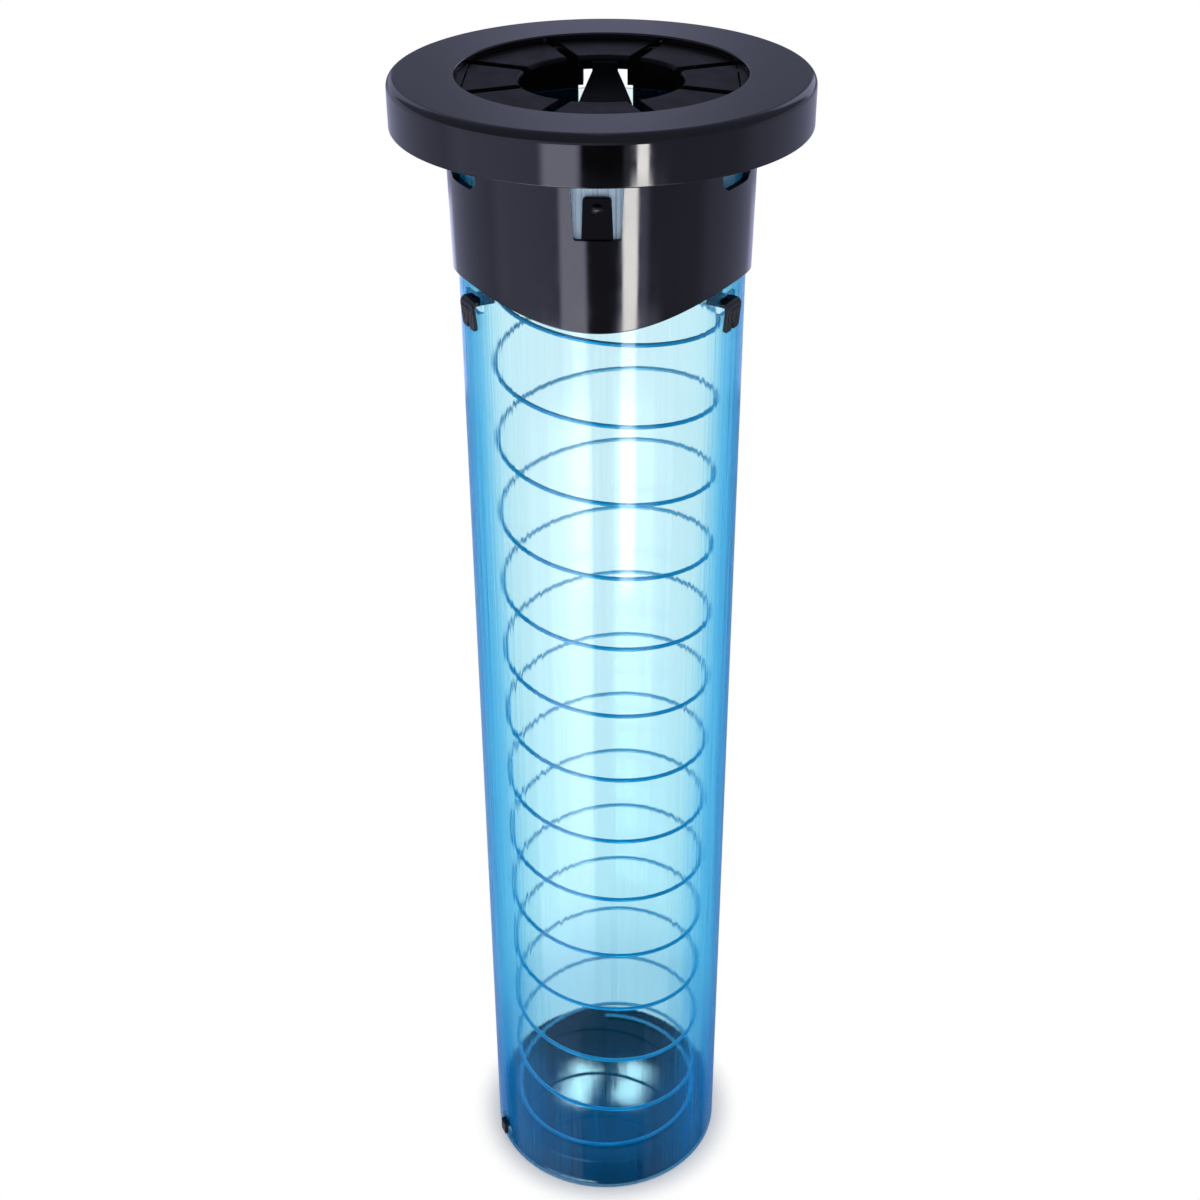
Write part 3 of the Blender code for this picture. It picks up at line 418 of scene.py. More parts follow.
    # How much of the light the wall catches: more at the rims and where it is rubbed. The extra by the
    # plug is painted light
    painted_light_by_plug = add(
        tree,
        "ShaderNodeMapRange",
        {"Value": level, "From Min": 0.13, "From Max": 0.05, "To Min": 0.032, "To Max": 0.16},
        **SOFTLY,
    )
    haze = add(
        tree,
        "ShaderNodeMath",
        {0: rim.outputs[0], 1: 0.20, 2: painted_light_by_plug.outputs[0]},
        operation="MULTIPLY_ADD",
    )
    glow = add(
        tree,
        "ShaderNodeMath",
        {0: rubbed.outputs[0], 1: 0.9, 2: haze.outputs[0]},
        operation="MULTIPLY_ADD",
    )
    stripes = {"Value": fine_lines.outputs["Fac"], "From Min": 0.3, "From Max": 0.7}
    streak = add(tree, "ShaderNodeMapRange", {**stripes, "To Min": 0.45, "To Max": 1.55})
    streaked = add(
        tree, "ShaderNodeMath", {0: glow.outputs[0], 1: streak.outputs[0]}, operation="MULTIPLY"
    )
    # What is caught is a strong blue, darker by the plug, which is painted shade, and near white where
    # the wall is rubbed
    low = add(
        tree, "ShaderNodeMapRange", {"Value": level, "From Min": 0.15, "From Max": 0.06}, **SOFTLY
    )
    caught_with_painted_shade = add(
        tree,
        "ShaderNodeMix",
        {"Factor": low.outputs[0], "A": linear("#00B8FF"), "B": linear("#0098E8")},
        data_type="RGBA",
    )
    colour = add(
        tree,
        "ShaderNodeMix",
        {"Factor": rubbed.outputs[0], "A": caught_with_painted_shade.outputs["Result"], "B": linear("#CCE6FF")},
        data_type="RGBA",
    )
    near = add(
        tree, "ShaderNodeBsdfDiffuse", {"Color": colour.outputs["Result"], "Normal": second.outputs[0]}
    )
    beyond = add(tree, "ShaderNodeBsdfTranslucent", {"Color": colour.outputs["Result"]})
    through = add(
        tree, "ShaderNodeMath", {0: rubbed.outputs[0], 1: -0.45, 2: 0.5}, operation="MULTIPLY_ADD"
    )
    tint = add(
        tree, "ShaderNodeMixShader", {0: through.outputs[0], 1: near.outputs[0], 2: beyond.outputs[0]}
    )
    both = add(
        tree, "ShaderNodeMixShader", {0: streaked.outputs[0], 1: clear.outputs[0], 2: tint.outputs[0]}
    )
    inside = add(tree, "ShaderNodeVolumeAbsorption", {"Color": linear("#00F5FF"), "Density": 62.0})
    add(tree, "ShaderNodeOutputMaterial", {"Surface": both.outputs[0], "Volume": inside.outputs[0]})
    return made


def drawn_spring_steel():
    """Drawn steel wire, blued by its tempering, with fine lines along the wire and paler places. The side
    of the wire that faces the spring's axis carries a painted reflection.
    """
    made, tree = material("drawn_spring_steel")
    place = add(tree, "ShaderNodeTexCoord")
    here = place.outputs["Object"]
    lines = add(tree, "ShaderNodeMapping", {"Vector": here, "Scale": (120.0, 120.0, 4000.0)})
    drawn = add(tree, "ShaderNodeTexNoise", {"Vector": lines.outputs[0], "Scale": 1.0, "Detail": 3.0})
    patches = add(tree, "ShaderNodeTexNoise", {"Vector": here, "Scale": 140.0, "Detail": 4.0})
    colour = add(
        tree,
        "ShaderNodeMix",
        {"Factor": patches.outputs["Fac"], "A": linear("#009CD0"), "B": linear("#08B8EE")},
        data_type="RGBA",
    )
    # The side of the wire that looks at the spring's axis is painted paler, a painted reflection, so the
    #     # far windings look paler
    flat = add(tree, "ShaderNodeVectorMath", {0: here, 1: (1.0, 1.0, 0.0)}, operation="MULTIPLY")
    outwards = add(tree, "ShaderNodeVectorMath", {0: flat.outputs[0]}, operation="NORMALIZE")
    side = add(
        tree,
        "ShaderNodeVectorMath",
        {0: outwards.outputs[0], 1: place.outputs["Normal"]},
        operation="DOT_PRODUCT",
    )
    inner = add(
        tree,
        "ShaderNodeMapRange",
        {"Value": side.outputs["Value"], "From Min": 0.2, "From Max": -0.5},
        **SOFTLY,
    )
    # Painted reflection: the wire's inner side is mixed to a pale blue
    painted_inner_reflection = add(
        tree,
        "ShaderNodeMix",
        {"Factor": inner.outputs[0], "A": colour.outputs["Result"], "B": linear("#8CD2EC")},
        data_type="RGBA",
    )
    rough = add(
        tree, "ShaderNodeMapRange", {"Value": drawn.outputs["Fac"], "To Min": 0.22, "To Max": 0.42}
    )
    bump = add(
        tree, "ShaderNodeBump", {"Height": drawn.outputs["Fac"], "Strength": 0.4, "Distance": 2e-5}
    )
    shader = add(
        tree,
        "ShaderNodeBsdfPrincipled",
        {
            "Base Color": painted_inner_reflection.outputs["Result"],
            "Metallic": 0.5,
            "Roughness": rough.outputs[0],
            "Normal": bump.outputs[0],
        },
    )
    add(tree, "ShaderNodeOutputMaterial", {"Surface": shader.outputs[0]})
    return made


# Each has its colour, roughness from and to, length of the waves in mm, height of the waves and of the
# grain. Ring, collar and tabs: polished black that mirrors the studio, a little wavy
GLOSS_ABS = moulded_plastic("gloss_black_abs", "#060607", 0.05, 0.10, 22.0, 5e-5, 5e-7)
# Plug: as smooth as a mirror, so that the bright panes show on it as two patches
PLUG_PS = moulded_plastic("polished_black_polystyrene", "#030304", 0.01, 0.025, 60.0, 2e-5, 1e-7)
# Carrier, arms, pusher and clips: a soft sheen that blurs what it mirrors
SATIN_PP = moulded_plastic(
    "satin_black_polypropylene", "#070708", 0.24, 0.34, 14.0, 3e-5, 1e-6, sheen=0.4
)
# Fingers and their rim: rubbery, nearly without a sheen
LEAF_TPE = moulded_plastic(
    "matte_black_elastomer", "#060608", 0.34, 0.42, 18.0, 3e-5, 1e-6, sheen=0.07
)
TUBE_PC = blue_polycarbonate()
WIRE_STEEL = drawn_spring_steel()


def fit(piece, body, slot, finish, *nodes):
    """Gives a piece its finish, sets it on its body and lets it stand for CAD nodes. The slot is not
    used.
    """
    piece.data.materials.clear()
    piece.data.materials.append(finish)
    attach(piece, body)
    if nodes:
        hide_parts(*nodes)
    return piece


# Trim ring

RING_RADIUS = 0.0985
HOLE_RADIUS = 0.0674
SHOULDER = 0.0042
PLATE = 0.0030
SKIRT_DEPTH = 0.0226
SKIRT_WALL = 0.0026
RIB_INNER = 0.0739
RIB_WALL = 0.0020
RIB_DEPTH = 0.0120


def trim_ring():
    """The rounded plate with its skirt and a rib inside the skirt, hollow from below."""
    top, plate, rib = height(0), height(PLATE), height(RIB_DEPTH)
    # How much the hole's edge, the skirt's lower edge and the corner inside it are rounded
    lip, foot, hollow = 0.0008, 0.0007, 0.0016
    inner = RING_RADIUS - SKIRT_WALL
    profile = arc((HOLE_RADIUS + lip, top - lip), lip, 2 * QUARTER, QUARTER, 6)
    shoulder = (RING_RADIUS - SHOULDER, top - SHOULDER)
    profile += arc(shoulder, SHOULDER, QUARTER, 0, 14)
    profile += arc((RING_RADIUS - foot, height(SKIRT_DEPTH) + foot), foot, 0, -QUARTER, 4)
    profile += arc((inner + foot, height(SKIRT_DEPTH) + foot), foot, -QUARTER, -2 * QUARTER, 4)
    profile += arc((inner - hollow, plate - hollow), hollow, 0, QUARTER, 5)
    profile += [(RIB_INNER + RIB_WALL, plate), (RIB_INNER + RIB_WALL, rib)]
    profile += [(RIB_INNER, rib), (RIB_INNER, plate), (HOLE_RADIUS, plate)]
    ring = smooth(lathe("ring_moulding", profile, steps=256), math.radians(40.0))
    return fit(ring, "housing", "head", GLOSS_ABS, "trim_ring")


# Gasket rim and fingers

FINGER_COUNT = 8
HINGE_APOTHEM = 0.0626
FINGER_TIP = 0.0380
FINGER_TOP = 0.0033
FINGER_THICKNESS = 0.0018
SLOT_HALF = 0.0030
GASKET_RADIUS = 0.0720
GASKET_INNER = 0.0612
HINGE_GAP = 0.0007


def gasket_rim():
    """A flat rim with an eight-sided hole, a little wider than the fingers' hinge edges."""
    top, bottom = height(FINGER_TOP), height(FINGER_TOP + FINGER_THICKNESS)
    outer, inner = GASKET_RADIUS, GASKET_INNER
    rim = lathe("gasket_rim_moulding", [(outer, top), (outer, bottom), (inner, bottom), (inner, top)])
    corner = (HINGE_APOTHEM + HINGE_GAP) / math.cos(math.pi / FINGER_COUNT)
    angles = [math.pi * (2 * k + 1) / FINGER_COUNT for k in range(FINGER_COUNT)]
    outline = [(corner * math.sin(angle), corner * math.cos(angle)) for angle in angles]
    carve(rim, [prism("octagon", outline, bottom - 0.001, top + 0.001)])
    soften(rim, 0.0003)
    return fit(rim, "housing", "fingers", LEAF_TPE, "finger_gasket_rim")


# The share of the rim's thickness that a finger's leaf has
LEAF_SHARE = 0.96


def finger(number):
    """A thin leaf with a rounded hinge edge, and a tip that rolls down to a smooth lip."""
    beta = math.pi / FINGER_COUNT
    wide = HINGE_APOTHEM * math.tan(beta) - SLOT_HALF / math.cos(beta)
    tip_angle = beta - math.asin(SLOT_HALF / FINGER_TIP)
    across, along, bend = 28, 16, 6
    # Share of the finger's length that is flat, share that rolls down, and how far it rolls down
    flat, rolled, roll = 0.92, 0.08, 0.0022
    rows = [(i / along * flat, 0.0) for i in range(along + 1)]
    for i in range(1, bend + 1):
        angle = QUARTER * i / bend
        rows.append((flat + rolled * math.sin(angle), -roll * (1 - math.cos(angle))))
    work = bmesh.new()
    grid = []
    for t, drop in rows:
        line = []
        for k in range(across + 1):
            s = 2 * k / across - 1
            base = Vector((s * wide, -HINGE_APOTHEM))
            angle = s * tip_angle
            tip = Vector((FINGER_TIP * math.sin(angle), -FINGER_TIP * math.cos(angle)))
            point = base.lerp(tip, t)
            line.append(work.verts.new((point.x, point.y, drop)))
        grid.append(line)
    for here, ahead in zip(grid, grid[1:]):
        for k in range(across):
            work.faces.new((here[k], here[k + 1], ahead[k + 1], ahead[k]))
    place = turn(2 * math.pi * (number - 1) / FINGER_COUNT)
    place = place @ Matrix.Translation((0, 0, height(FINGER_TOP)))
    bmesh.ops.transform(work, matrix=place, verts=work.verts)
    leaf = piece_from(f"finger_leaf_{number}", work)
    if leaf.data.polygons[0].normal.z < 0:
        leaf.data.flip_normals()
    solid = leaf.modifiers.new("thickness", "SOLIDIFY")
    solid.thickness = FINGER_THICKNESS * LEAF_SHARE
    solid.offset = -1.0
    soften(leaf, 0.00045, 3, math.radians(50.0))
    return fit(leaf, f"finger_{number}", "fingers", LEAF_TPE, f"finger_{number}")


# Carrier and collar

COLLAR_TOP_RADIUS = 0.0734
COLLAR_DRAFT = 0.0152
COLLAR_BORE = 0.0697
COLLAR_TOP_DEPTH = 0.0077
COLLAR_FOOT_DEPTH = 0.0937
WAVE = 0.0054
ARM_WINDOW_TOP = 0.0170
ARM_WINDOW_HALF = 0.0109


def collar_radius(depth):
    """The outer radius of the collar, which narrows downwards."""
    return COLLAR_TOP_RADIUS - COLLAR_DRAFT * depth


def carrier():
    """The ring under the gasket. Its inner edge slopes, so that the fingers' corners clear it."""
    top, flange, bottom = height(0.0054), height(0.0074), height(0.0247)
    flange_outer, wall_outer, wall_inner, flange_inner = 0.0728, 0.0693, 0.0652, 0.0645
    slope_across, slope_down = 0.0026, 0.0017
    profile = [
        (flange_outer, top),
        (flange_outer, flange),
        (wall_outer, flange),
        (wall_outer, bottom),
        (wall_inner, bottom),
        (wall_inner, flange),
        (flange_inner, flange),
        (flange_inner, top - slope_down),
        (flange_inner + slope_across, top),
    ]
    ring = lathe("carrier_moulding", profile)
    # A notch for each arm's leaf, then a groove for the barrel it hangs from
    half, low, high = ARM_WINDOW_HALF, bottom - 0.004, height(ARM_WINDOW_TOP)
    outline = [(-half, low), (half, low), (half, high), (-half, high)]
    tools = [window("notch", outline, azimuth, middle=0.067, reach=0.009) for azimuth in ARM_AZIMUTHS]
    carve(ring, tools)
    inner, outer, half = 0.0610, 0.0683, 0.0068
    low, high = height(0.0126), height(0.0097)
    outline = [(inner, high), (outer, high), (outer, low), (inner, low)]
    places = [turn(azimuth) @ FACING_ACROSS for azimuth in ARM_AZIMUTHS]
    carve(ring, [prism("groove", outline, -half, half, place) for place in places])
    soften(ring, 0.0003)
    return fit(ring, "housing", "head", SATIN_PP, "carrier_ring")


def collar():
    """The drafted collar, its lower edge in three waves, with windows for the arms and the tabs."""
    top, low = height(COLLAR_TOP_DEPTH), height(COLLAR_FOOT_DEPTH)
    round_off, bevel = 0.0007, 0.0005
    outer_top, outer_low = collar_radius(COLLAR_TOP_DEPTH), collar_radius(COLLAR_FOOT_DEPTH)
    profile = [(outer_top - bevel, top), (outer_top, top - bevel)]
    for depth in (0.02, 0.035, 0.05, 0.065, 0.08):
        profile.append((collar_radius(depth), height(depth)))
    straight = len(profile)
    profile += arc((outer_low - round_off, low + round_off), round_off, 0, -QUARTER, 4)
    profile += arc((COLLAR_BORE + round_off, low + round_off), round_off, -QUARTER, -2 * QUARTER, 4)
    profile.append((COLLAR_BORE, top))
    last = len(profile) - 1

    def edge(k, azimuth):
        """Only the lower edge is wavy, and lowest under the three tabs."""
        if k < straight or k == last:
            return 0.0
        return -WAVE * math.cos(3 * azimuth)

    body = lathe("collar_moulding", profile, steps=288, edge=edge)
    # The tabs' windows widen upwards
    foot, head, low_z, high_z = 0.0105, 0.0124, height(0.0550), height(0.0200)
    corners = [(-foot, low_z), (foot, low_z), (head, high_z), (-head, high_z)]
    outline = rounded(corners, [0.0012, 0.0012, 0.0008, 0.0008])
    tools = [window("tab_window", outline, azimuth) for azimuth in TAB_AZIMUTHS]
    # The arms' windows have a narrower upper part and cut lower corners
    low_z, step, high_z = height(0.0415), height(0.0250), height(ARM_WINDOW_TOP)
    wide, narrow, cut_across = 0.0136, ARM_WINDOW_HALF, 0.0042
    cut_up = cut_across * 0.8
    corners = [
        (-wide + cut_across, low_z),
        (wide - cut_across, low_z),
        (wide, low_z + cut_up),
        (wide, step),
        (narrow, step),
        (narrow, high_z),
        (-narrow, high_z),
        (-narrow, step),
        (-wide, step),
        (-wide, low_z + cut_up),
    ]
    outline = rounded(corners, 0.0007)
    tools += [window("arm_window", outline, azimuth) for azimuth in ARM_AZIMUTHS]
    carve(body, tools)
    soften(body, 0.00035, 2, math.radians(38.0))
    fit(body, "housing", "head", GLOSS_ABS, "mounting_collar")
    # Small lugs between the windows, under the ring, sunk 1 mm into the collar's wall
    lug_top, lug_half = 0.0123, 0.0070
    radius = collar_radius(lug_top)
    side = [
        (radius - 0.001, height(lug_top)),
        (radius + 0.0032, height(lug_top)),
        (radius + 0.0034, height(0.0128)),
        (radius - 0.001, height(0.0180)),
    ]
    for number, azimuth in enumerate(LUG_AZIMUTHS, 1):
        lug = prism(f"collar_lug_{number}", side, -lug_half, lug_half, turn(azimuth) @ FACING_ACROSS)
        soften(lug, 0.0003)
        fit(lug, "housing", "head", GLOSS_ABS)


# Counter tabs

TAB_AXIS_RADIUS = 0.071364
TAB_AXIS_DEPTH = 0.0537
TAB_TOP_DEPTH = 0.0352
TAB_BUMP_DEPTH = 0.0402


def tab(number, azimuth):
    """A sprung leaf, rounded at its root and its upper corners, with a round bump near its top."""
    half, bevel = 0.0010, 0.0006
    rise = TAB_AXIS_DEPTH - TAB_TOP_DEPTH
    place = turn(azimuth) @ Matrix.Translation((0, -TAB_AXIS_RADIUS, height(TAB_AXIS_DEPTH)))
    side = [
        (half, 0.0),
        (half, rise - bevel),
        (half - bevel, rise),
        (-half, rise),
        (-half, 0.0),
        *arc((0, 0), half, 2 * QUARTER, 4 * QUARTER, 10)[1:-1],
    ]
    leaf = prism(f"tab_leaf_{number}", side, -0.012, 0.012, place @ FACING_ACROSS)
    foot, head, below = 0.0071, 0.0063, -0.002
    corners = [(-foot, below), (foot, below), (head, rise), (-head, rise)]
    outline = rounded(corners, [0.0, 0.0, 0.0017, 0.0017])
    carve(leaf, [prism("front", outline, -0.003, 0.003, place @ FACING_OUT)], "INTERSECT")
    soften(leaf, 0.0004, 3)
    body = f"tab_{number}"
    fit(leaf, body, "head", GLOSS_ABS, f"counter_tab_{number}")
    # The bump is the outer part of a ball, cut off inside the leaf
    bump_radius, reach = 0.0024, 0.0018
    half_circle = arc((0, 0), bump_radius, -QUARTER, QUARTER, 20)
    ball = lathe("ball", half_circle, closed=False, steps=40)
    work = bmesh.new()
    work.from_mesh(ball.data)
    bpy.data.objects.remove(ball)
    offset = half + reach - bump_radius
    shift = Matrix.Translation((0, -offset, TAB_AXIS_DEPTH - TAB_BUMP_DEPTH))
    bmesh.ops.transform(work, matrix=shift, verts=work.verts)
    geometry = [*work.verts, *work.edges, *work.faces]
    plane = {"plane_co": (0, -half * 0.4, 0), "plane_no": (0, 1, 0), "clear_outer": True}
    cut = bmesh.ops.bisect_plane(work, geom=geometry, **plane)
    rim = [item for item in cut["geom_cut"] if isinstance(item, bmesh.types.BMEdge)]
    bmesh.ops.contextual_create(work, geom=rim)
    bmesh.ops.transform(work, matrix=place, verts=work.verts)
    bump = smooth(piece_from(f"tab_bump_{number}", work), math.radians(50.0))
    fit(bump, body, "head", GLOSS_ABS)


# Guide arms

ARM_AXIS_RADIUS = 0.0665
ARM_AXIS_DEPTH = 0.0110
BORE = 0.0667
TUBE_RADIUS = 0.0693
HOOK_BAR_DEPTH = 0.0970
HOOK_THICKNESS = 0.0020
HOOK_OUTER = 0.0732
HOOK_TIP_DEPTH = 0.1115
HOOK_LEAN = 0.0013


def eased(start, end, share):
    """A value between start and end that leaves and arrives smoothly."""
    return start + (end - start) * (1 - math.cos(math.pi * share)) / 2


def arm(number, azimuth):
    """A bowed leaf that hangs from the carrier. Its foot hooks out through the tube and turns down."""
    head, bow = BORE - 0.0053, BORE - 0.0117
    middle, leaf_half, blank = HOOK_THICKNESS / 2, 0.0010, 0.017
    foot_depth = HOOK_BAR_DEPTH + middle
    start, bow_depth, steps = 0.0173, 0.0480, 14
    path = [
        (eased(head, bow, i / steps), height(start + (bow_depth - start) * i / steps))
        for i in range(steps)
    ]
    path += [
        (eased(bow, head, i / steps), height(bow_depth + (foot_depth - bow_depth) * i / steps))
        for i in range(steps + 1)
    ]
    axis_z = height(ARM_AXIS_DEPTH)
    neck = rounded([(ARM_AXIS_RADIUS, axis_z), (head, axis_z), path[0]], 0.002, False)
    place = turn(azimuth) @ FACING_ACROSS
    leaf = prism(f"arm_leaf_{number}", ribbon(neck + path[1:], leaf_half), -blank, blank, place)
    leg = HOOK_OUTER - middle
    tip = height(HOOK_TIP_DEPTH)
    bend = [(head - 0.001, height(foot_depth)), (leg, height(foot_depth)), (leg - HOOK_LEAN, tip)]
    hook = prism("hook", ribbon(rounded(bend, 0.0028, False, 8), middle), -blank, blank, place)
    carve(leaf, [hook], "UNION")
    # From the front: a narrow neck, a wide bow, and a hook with a small notch in the middle of its tip
    neck_half, bow_half, hook_half = 0.0063, 0.0134, 0.0064
    right = [
        (neck_half, axis_z + 0.002),
        (neck_half, height(0.0170)),
        (bow_half, height(0.0325)),
        (bow_half, height(bow_depth)),
        (hook_half, height(0.0725)),
        (hook_half, tip + 0.0012),
        (0.0054, tip),
        (0.0012, tip),
        (0.0005, tip + 0.0036),
    ]
    outline = right + [(-x, z) for x, z in right[::-1]]
    carve(leaf, [prism("front", outline, 0.0, 0.09, turn(azimuth) @ FACING_OUT)], "INTERSECT")
    # Three ribs stand out from the hook's leg, the middle one more than the others
    rib_top, rib_low = (leg - 0.0002, height(HOOK_BAR_DEPTH + 0.0032)), (leg - 0.0010, tip + 0.0042)
    ribs = []
    middle_rib, side_rib, apart = (0.0013, 0.0006), (0.0009, 0.0004), 0.0039
    for across, (half, rise) in ((0.0, middle_rib), (-apart, side_rib), (apart, side_rib)):
        side = ribbon([(radius + rise, z) for radius, z in (rib_top, rib_low)], middle)
        ribs.append(prism("rib", side, across - half, across + half, place))
    carve(leaf, ribs, "UNION")
    soften(leaf, 0.0004, 3)
    body = f"arm_{number}"
    fit(leaf, body, "head", SATIN_PP, f"guide_arm_{number}")
    circle = arc((ARM_AXIS_RADIUS, axis_z), 0.0015, 0, 4 * QUARTER, 32)[:-1]
    barrel = prism(f"arm_barrel_{number}", circle, -neck_half, neck_half, place)
    soften(barrel, 0.0002)
    fit(barrel, body, "head", SATIN_PP)


# Tube

TUBE_TOP_DEPTH = 0.0270


def tube():
    """The extruded tube with its punched slots, three for the hooks and two for the base clips."""
    top = height(TUBE_TOP_DEPTH)
    edge = 0.0003
    profile = [
        (TUBE_RADIUS - edge, top),
        (TUBE_RADIUS, top - edge),
        (TUBE_RADIUS, edge),
        (TUBE_RADIUS - edge, 0.0),
        (BORE + edge, 0.0),
        (BORE, edge),
        (BORE, top - edge),
        (BORE + edge, top),
    ]
    wall = lathe("tube_extrusion", profile, steps=256)
    # Upper and lower edges of the slots, their half width and their cut lower corners
    hook_slot, clip_slot, half, cut = (height(0.0944), height(0.1035)), (0.0163, 0.0075), 0.0076, 0.0020
    slots = [(azimuth, *hook_slot) for azimuth in ARM_AZIMUTHS]
    slots += [(azimuth, *clip_slot) for azimuth in CLIP_AZIMUTHS]
    tools = []
    for azimuth, high, low in slots:
        corners = [
            (-half + cut, low),
            (half - cut, low),
            (half, low + cut),
            (half, high),
            (-half, high),
            (-half, low + cut),
        ]
        tools.append(window("slot", rounded(corners, 0.0006), azimuth, middle=0.068, reach=0.006))
    carve(wall, tools)
    smooth(wall, math.radians(30.0))
    return fit(wall, "housing", "tube", TUBE_PC, "dispenser_tube")


# Pusher, spring, plug and clips

PUSHER_TOP = 0.0725
PUSHER_THICKNESS = 0.0030
PLUG_TOP = 0.0220
SPRING_RADIUS = 0.0555
SPRING_GAP = 0.0003
WIRE = 0.0011
PITCH = 0.0422


def pusher():
    """A plate, a little dished, with a groove round its middle and a skirt inside the spring."""
    top, bottom = height(PUSHER_TOP), height(PUSHER_TOP + PUSHER_THICKNESS)
    skirt = height(PUSHER_TOP + 0.0170)
    dish, groove = top - 0.0010, top - 0.0016
    radius, skirt_outer, skirt_inner, edge = 0.0572, 0.0518, 0.0498, 0.0008
    profile = [(0.0, dish), (0.0060, dish), (0.0066, groove), (0.0080, groove), (0.0086, dish)]
    profile += [(0.0490, dish), (0.0500, top)]
    profile += arc((radius - edge, top - edge), edge, QUARTER, 0, 5)
    profile += [(radius, bottom), (skirt_outer, bottom), (skirt_outer, skirt)]
    profile += [(skirt_inner, skirt), (skirt_inner, bottom), (0.0, bottom)]
    plate = smooth(lathe("pusher_moulding", profile, closed=False), math.radians(28.0))
    return fit(plate, "pusher", "head", SATIN_PP, "pusher_plate")


def climbed(turns, total, ends=0.65, blend=0.20):
    """Pitches climbed after some turns. The coils at both ends are flat, with a soft start."""

    def rise(u):
        if u < 0:
            return 0.0
        return u * u / (2 * blend) if u < blend else u - blend / 2

    return rise(turns - ends) - rise(turns - (total - ends - blend))


def spring():
    """Left-hand wire with flat end coils, leaning a little to the right near its top."""
    low = PLUG_TOP + SPRING_GAP + WIRE
    high = height(PUSHER_TOP + PUSHER_THICKNESS) - SPRING_GAP - WIRE
    # The flat coils take 1.5 turns of the whole
    total = (high - low) / PITCH + 1.5
    steps_per_turn, sides = 48, 14
    count = int(total * steps_per_turn)
    wire_end, most_lean, lean_from, lean_over = math.radians(181.3), 0.0018, 0.02, 0.55
    centers = []
    for i in range(count + 1):
        turns = total * i / count
        azimuth = wire_end - 2 * math.pi * turns
        z = low + PITCH * climbed(turns, total)
        lean = most_lean * math.sin(math.pi * min(1.0, max(0.0, (z - lean_from) / lean_over)) / 2)
        across, along = SPRING_RADIUS * math.sin(azimuth), -SPRING_RADIUS * math.cos(azimuth)
        centers.append(Vector((lean + across, along, z)))
    work = bmesh.new()
    rings = []
    for i, center in enumerate(centers):
        along = (centers[min(i + 1, count)] - centers[max(i - 1, 0)]).normalized()
        side = along.cross(Vector((0, 0, 1))).normalized()
        up = side.cross(along)
        ring = []
        for k in range(sides):
            angle = 2 * math.pi * k / sides
            outwards = math.cos(angle) * side + math.sin(angle) * up
            ring.append(work.verts.new(center + WIRE * outwards))
        rings.append(ring)
    for here, ahead in zip(rings, rings[1:]):
        for k in range(sides):
            n = (k + 1) % sides
            work.faces.new((here[k], here[n], ahead[n], ahead[k]))
    work.faces.new(rings[0])
    work.faces.new(rings[-1])
    wire = smooth(piece_from("spring_wire", work), math.radians(50.0))
    fit(wire, "housing", "spring", WIRE_STEEL, "lift_spring")
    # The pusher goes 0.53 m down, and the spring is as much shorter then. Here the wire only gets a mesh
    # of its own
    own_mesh(wire)


def plug():
    """The upturned cup that closes the tube."""
    top, radius, edge, wall = PLUG_TOP, 0.0664, 0.0025, 0.0025
    profile = [(0.0, top), (0.0480, top - 0.0001)]
    profile += arc((radius - edge, top - edge), edge, QUARTER, 0, 8)
    profile += [(radius, 0.0), (radius - wall, 0.0), (radius - wall, top - wall), (0.0, top - wall)]
    body = lathe("plug_moulding", profile, closed=False)
    # A pocket for each clip
    half, low, high = 0.0033, 0.0117, 0.0153
    outline = [(-half, low), (half, low), (half, high), (-half, high)]
    tools = [
        window("pocket", outline, azimuth, middle=0.0655, reach=0.006) for azimuth in CLIP_AZIMUTHS
    ]
    carve(body, tools)
    smooth(body, math.radians(28.0))
    fit(body, "housing", "head", PLUG_PS, "base_plug")


def clip(number, azimuth):
    """A hook with a bar through the tube's wall, a long leg outside and a short one inside."""
    outer, inner, leg, half = TUBE_RADIUS + 0.0003, 0.0636, 0.0022, 0.0030
    top, bar = 0.0150, 0.0120
    outer_tip, inner_tip = bar - 0.0060, bar - 0.0039
    place = turn(azimuth) @ FACING_ACROSS
    side = [
        (inner - leg, top),
        (outer + leg, top),
        (outer + leg, outer_tip),
        (outer, outer_tip),
        (outer, bar),
        (inner, bar),
        (inner, inner_tip),
        (inner - leg, inner_tip),
    ]
    radii = [0.0005, 0.0012, 0.0006, 0.0006, 0.0002, 0.0002, 0.0005, 0.0005]
    hook = prism(f"clip_hook_{number}", rounded(side, radii), -half, half, place)
    soften(hook, 0.0003)
    fit(hook, "housing", "head", SATIN_PP, f"base_clip_{number}")


trim_ring()
gasket_rim()
for number in range(1, FINGER_COUNT + 1):
    finger(number)
carrier()
collar()
for number, azimuth in enumerate(TAB_AZIMUTHS, 1):
    tab(number, azimuth)
for number, azimuth in enumerate(ARM_AZIMUTHS, 1):
    arm(number, azimuth)
tube()
pusher()
spring()
plug()
for number, azimuth in enumerate(CLIP_AZIMUTHS, 1):
    clip(number, azimuth)


# Stage: floor, background, panels and camera

SHOT_AZIMUTH = math.radians(1.7)


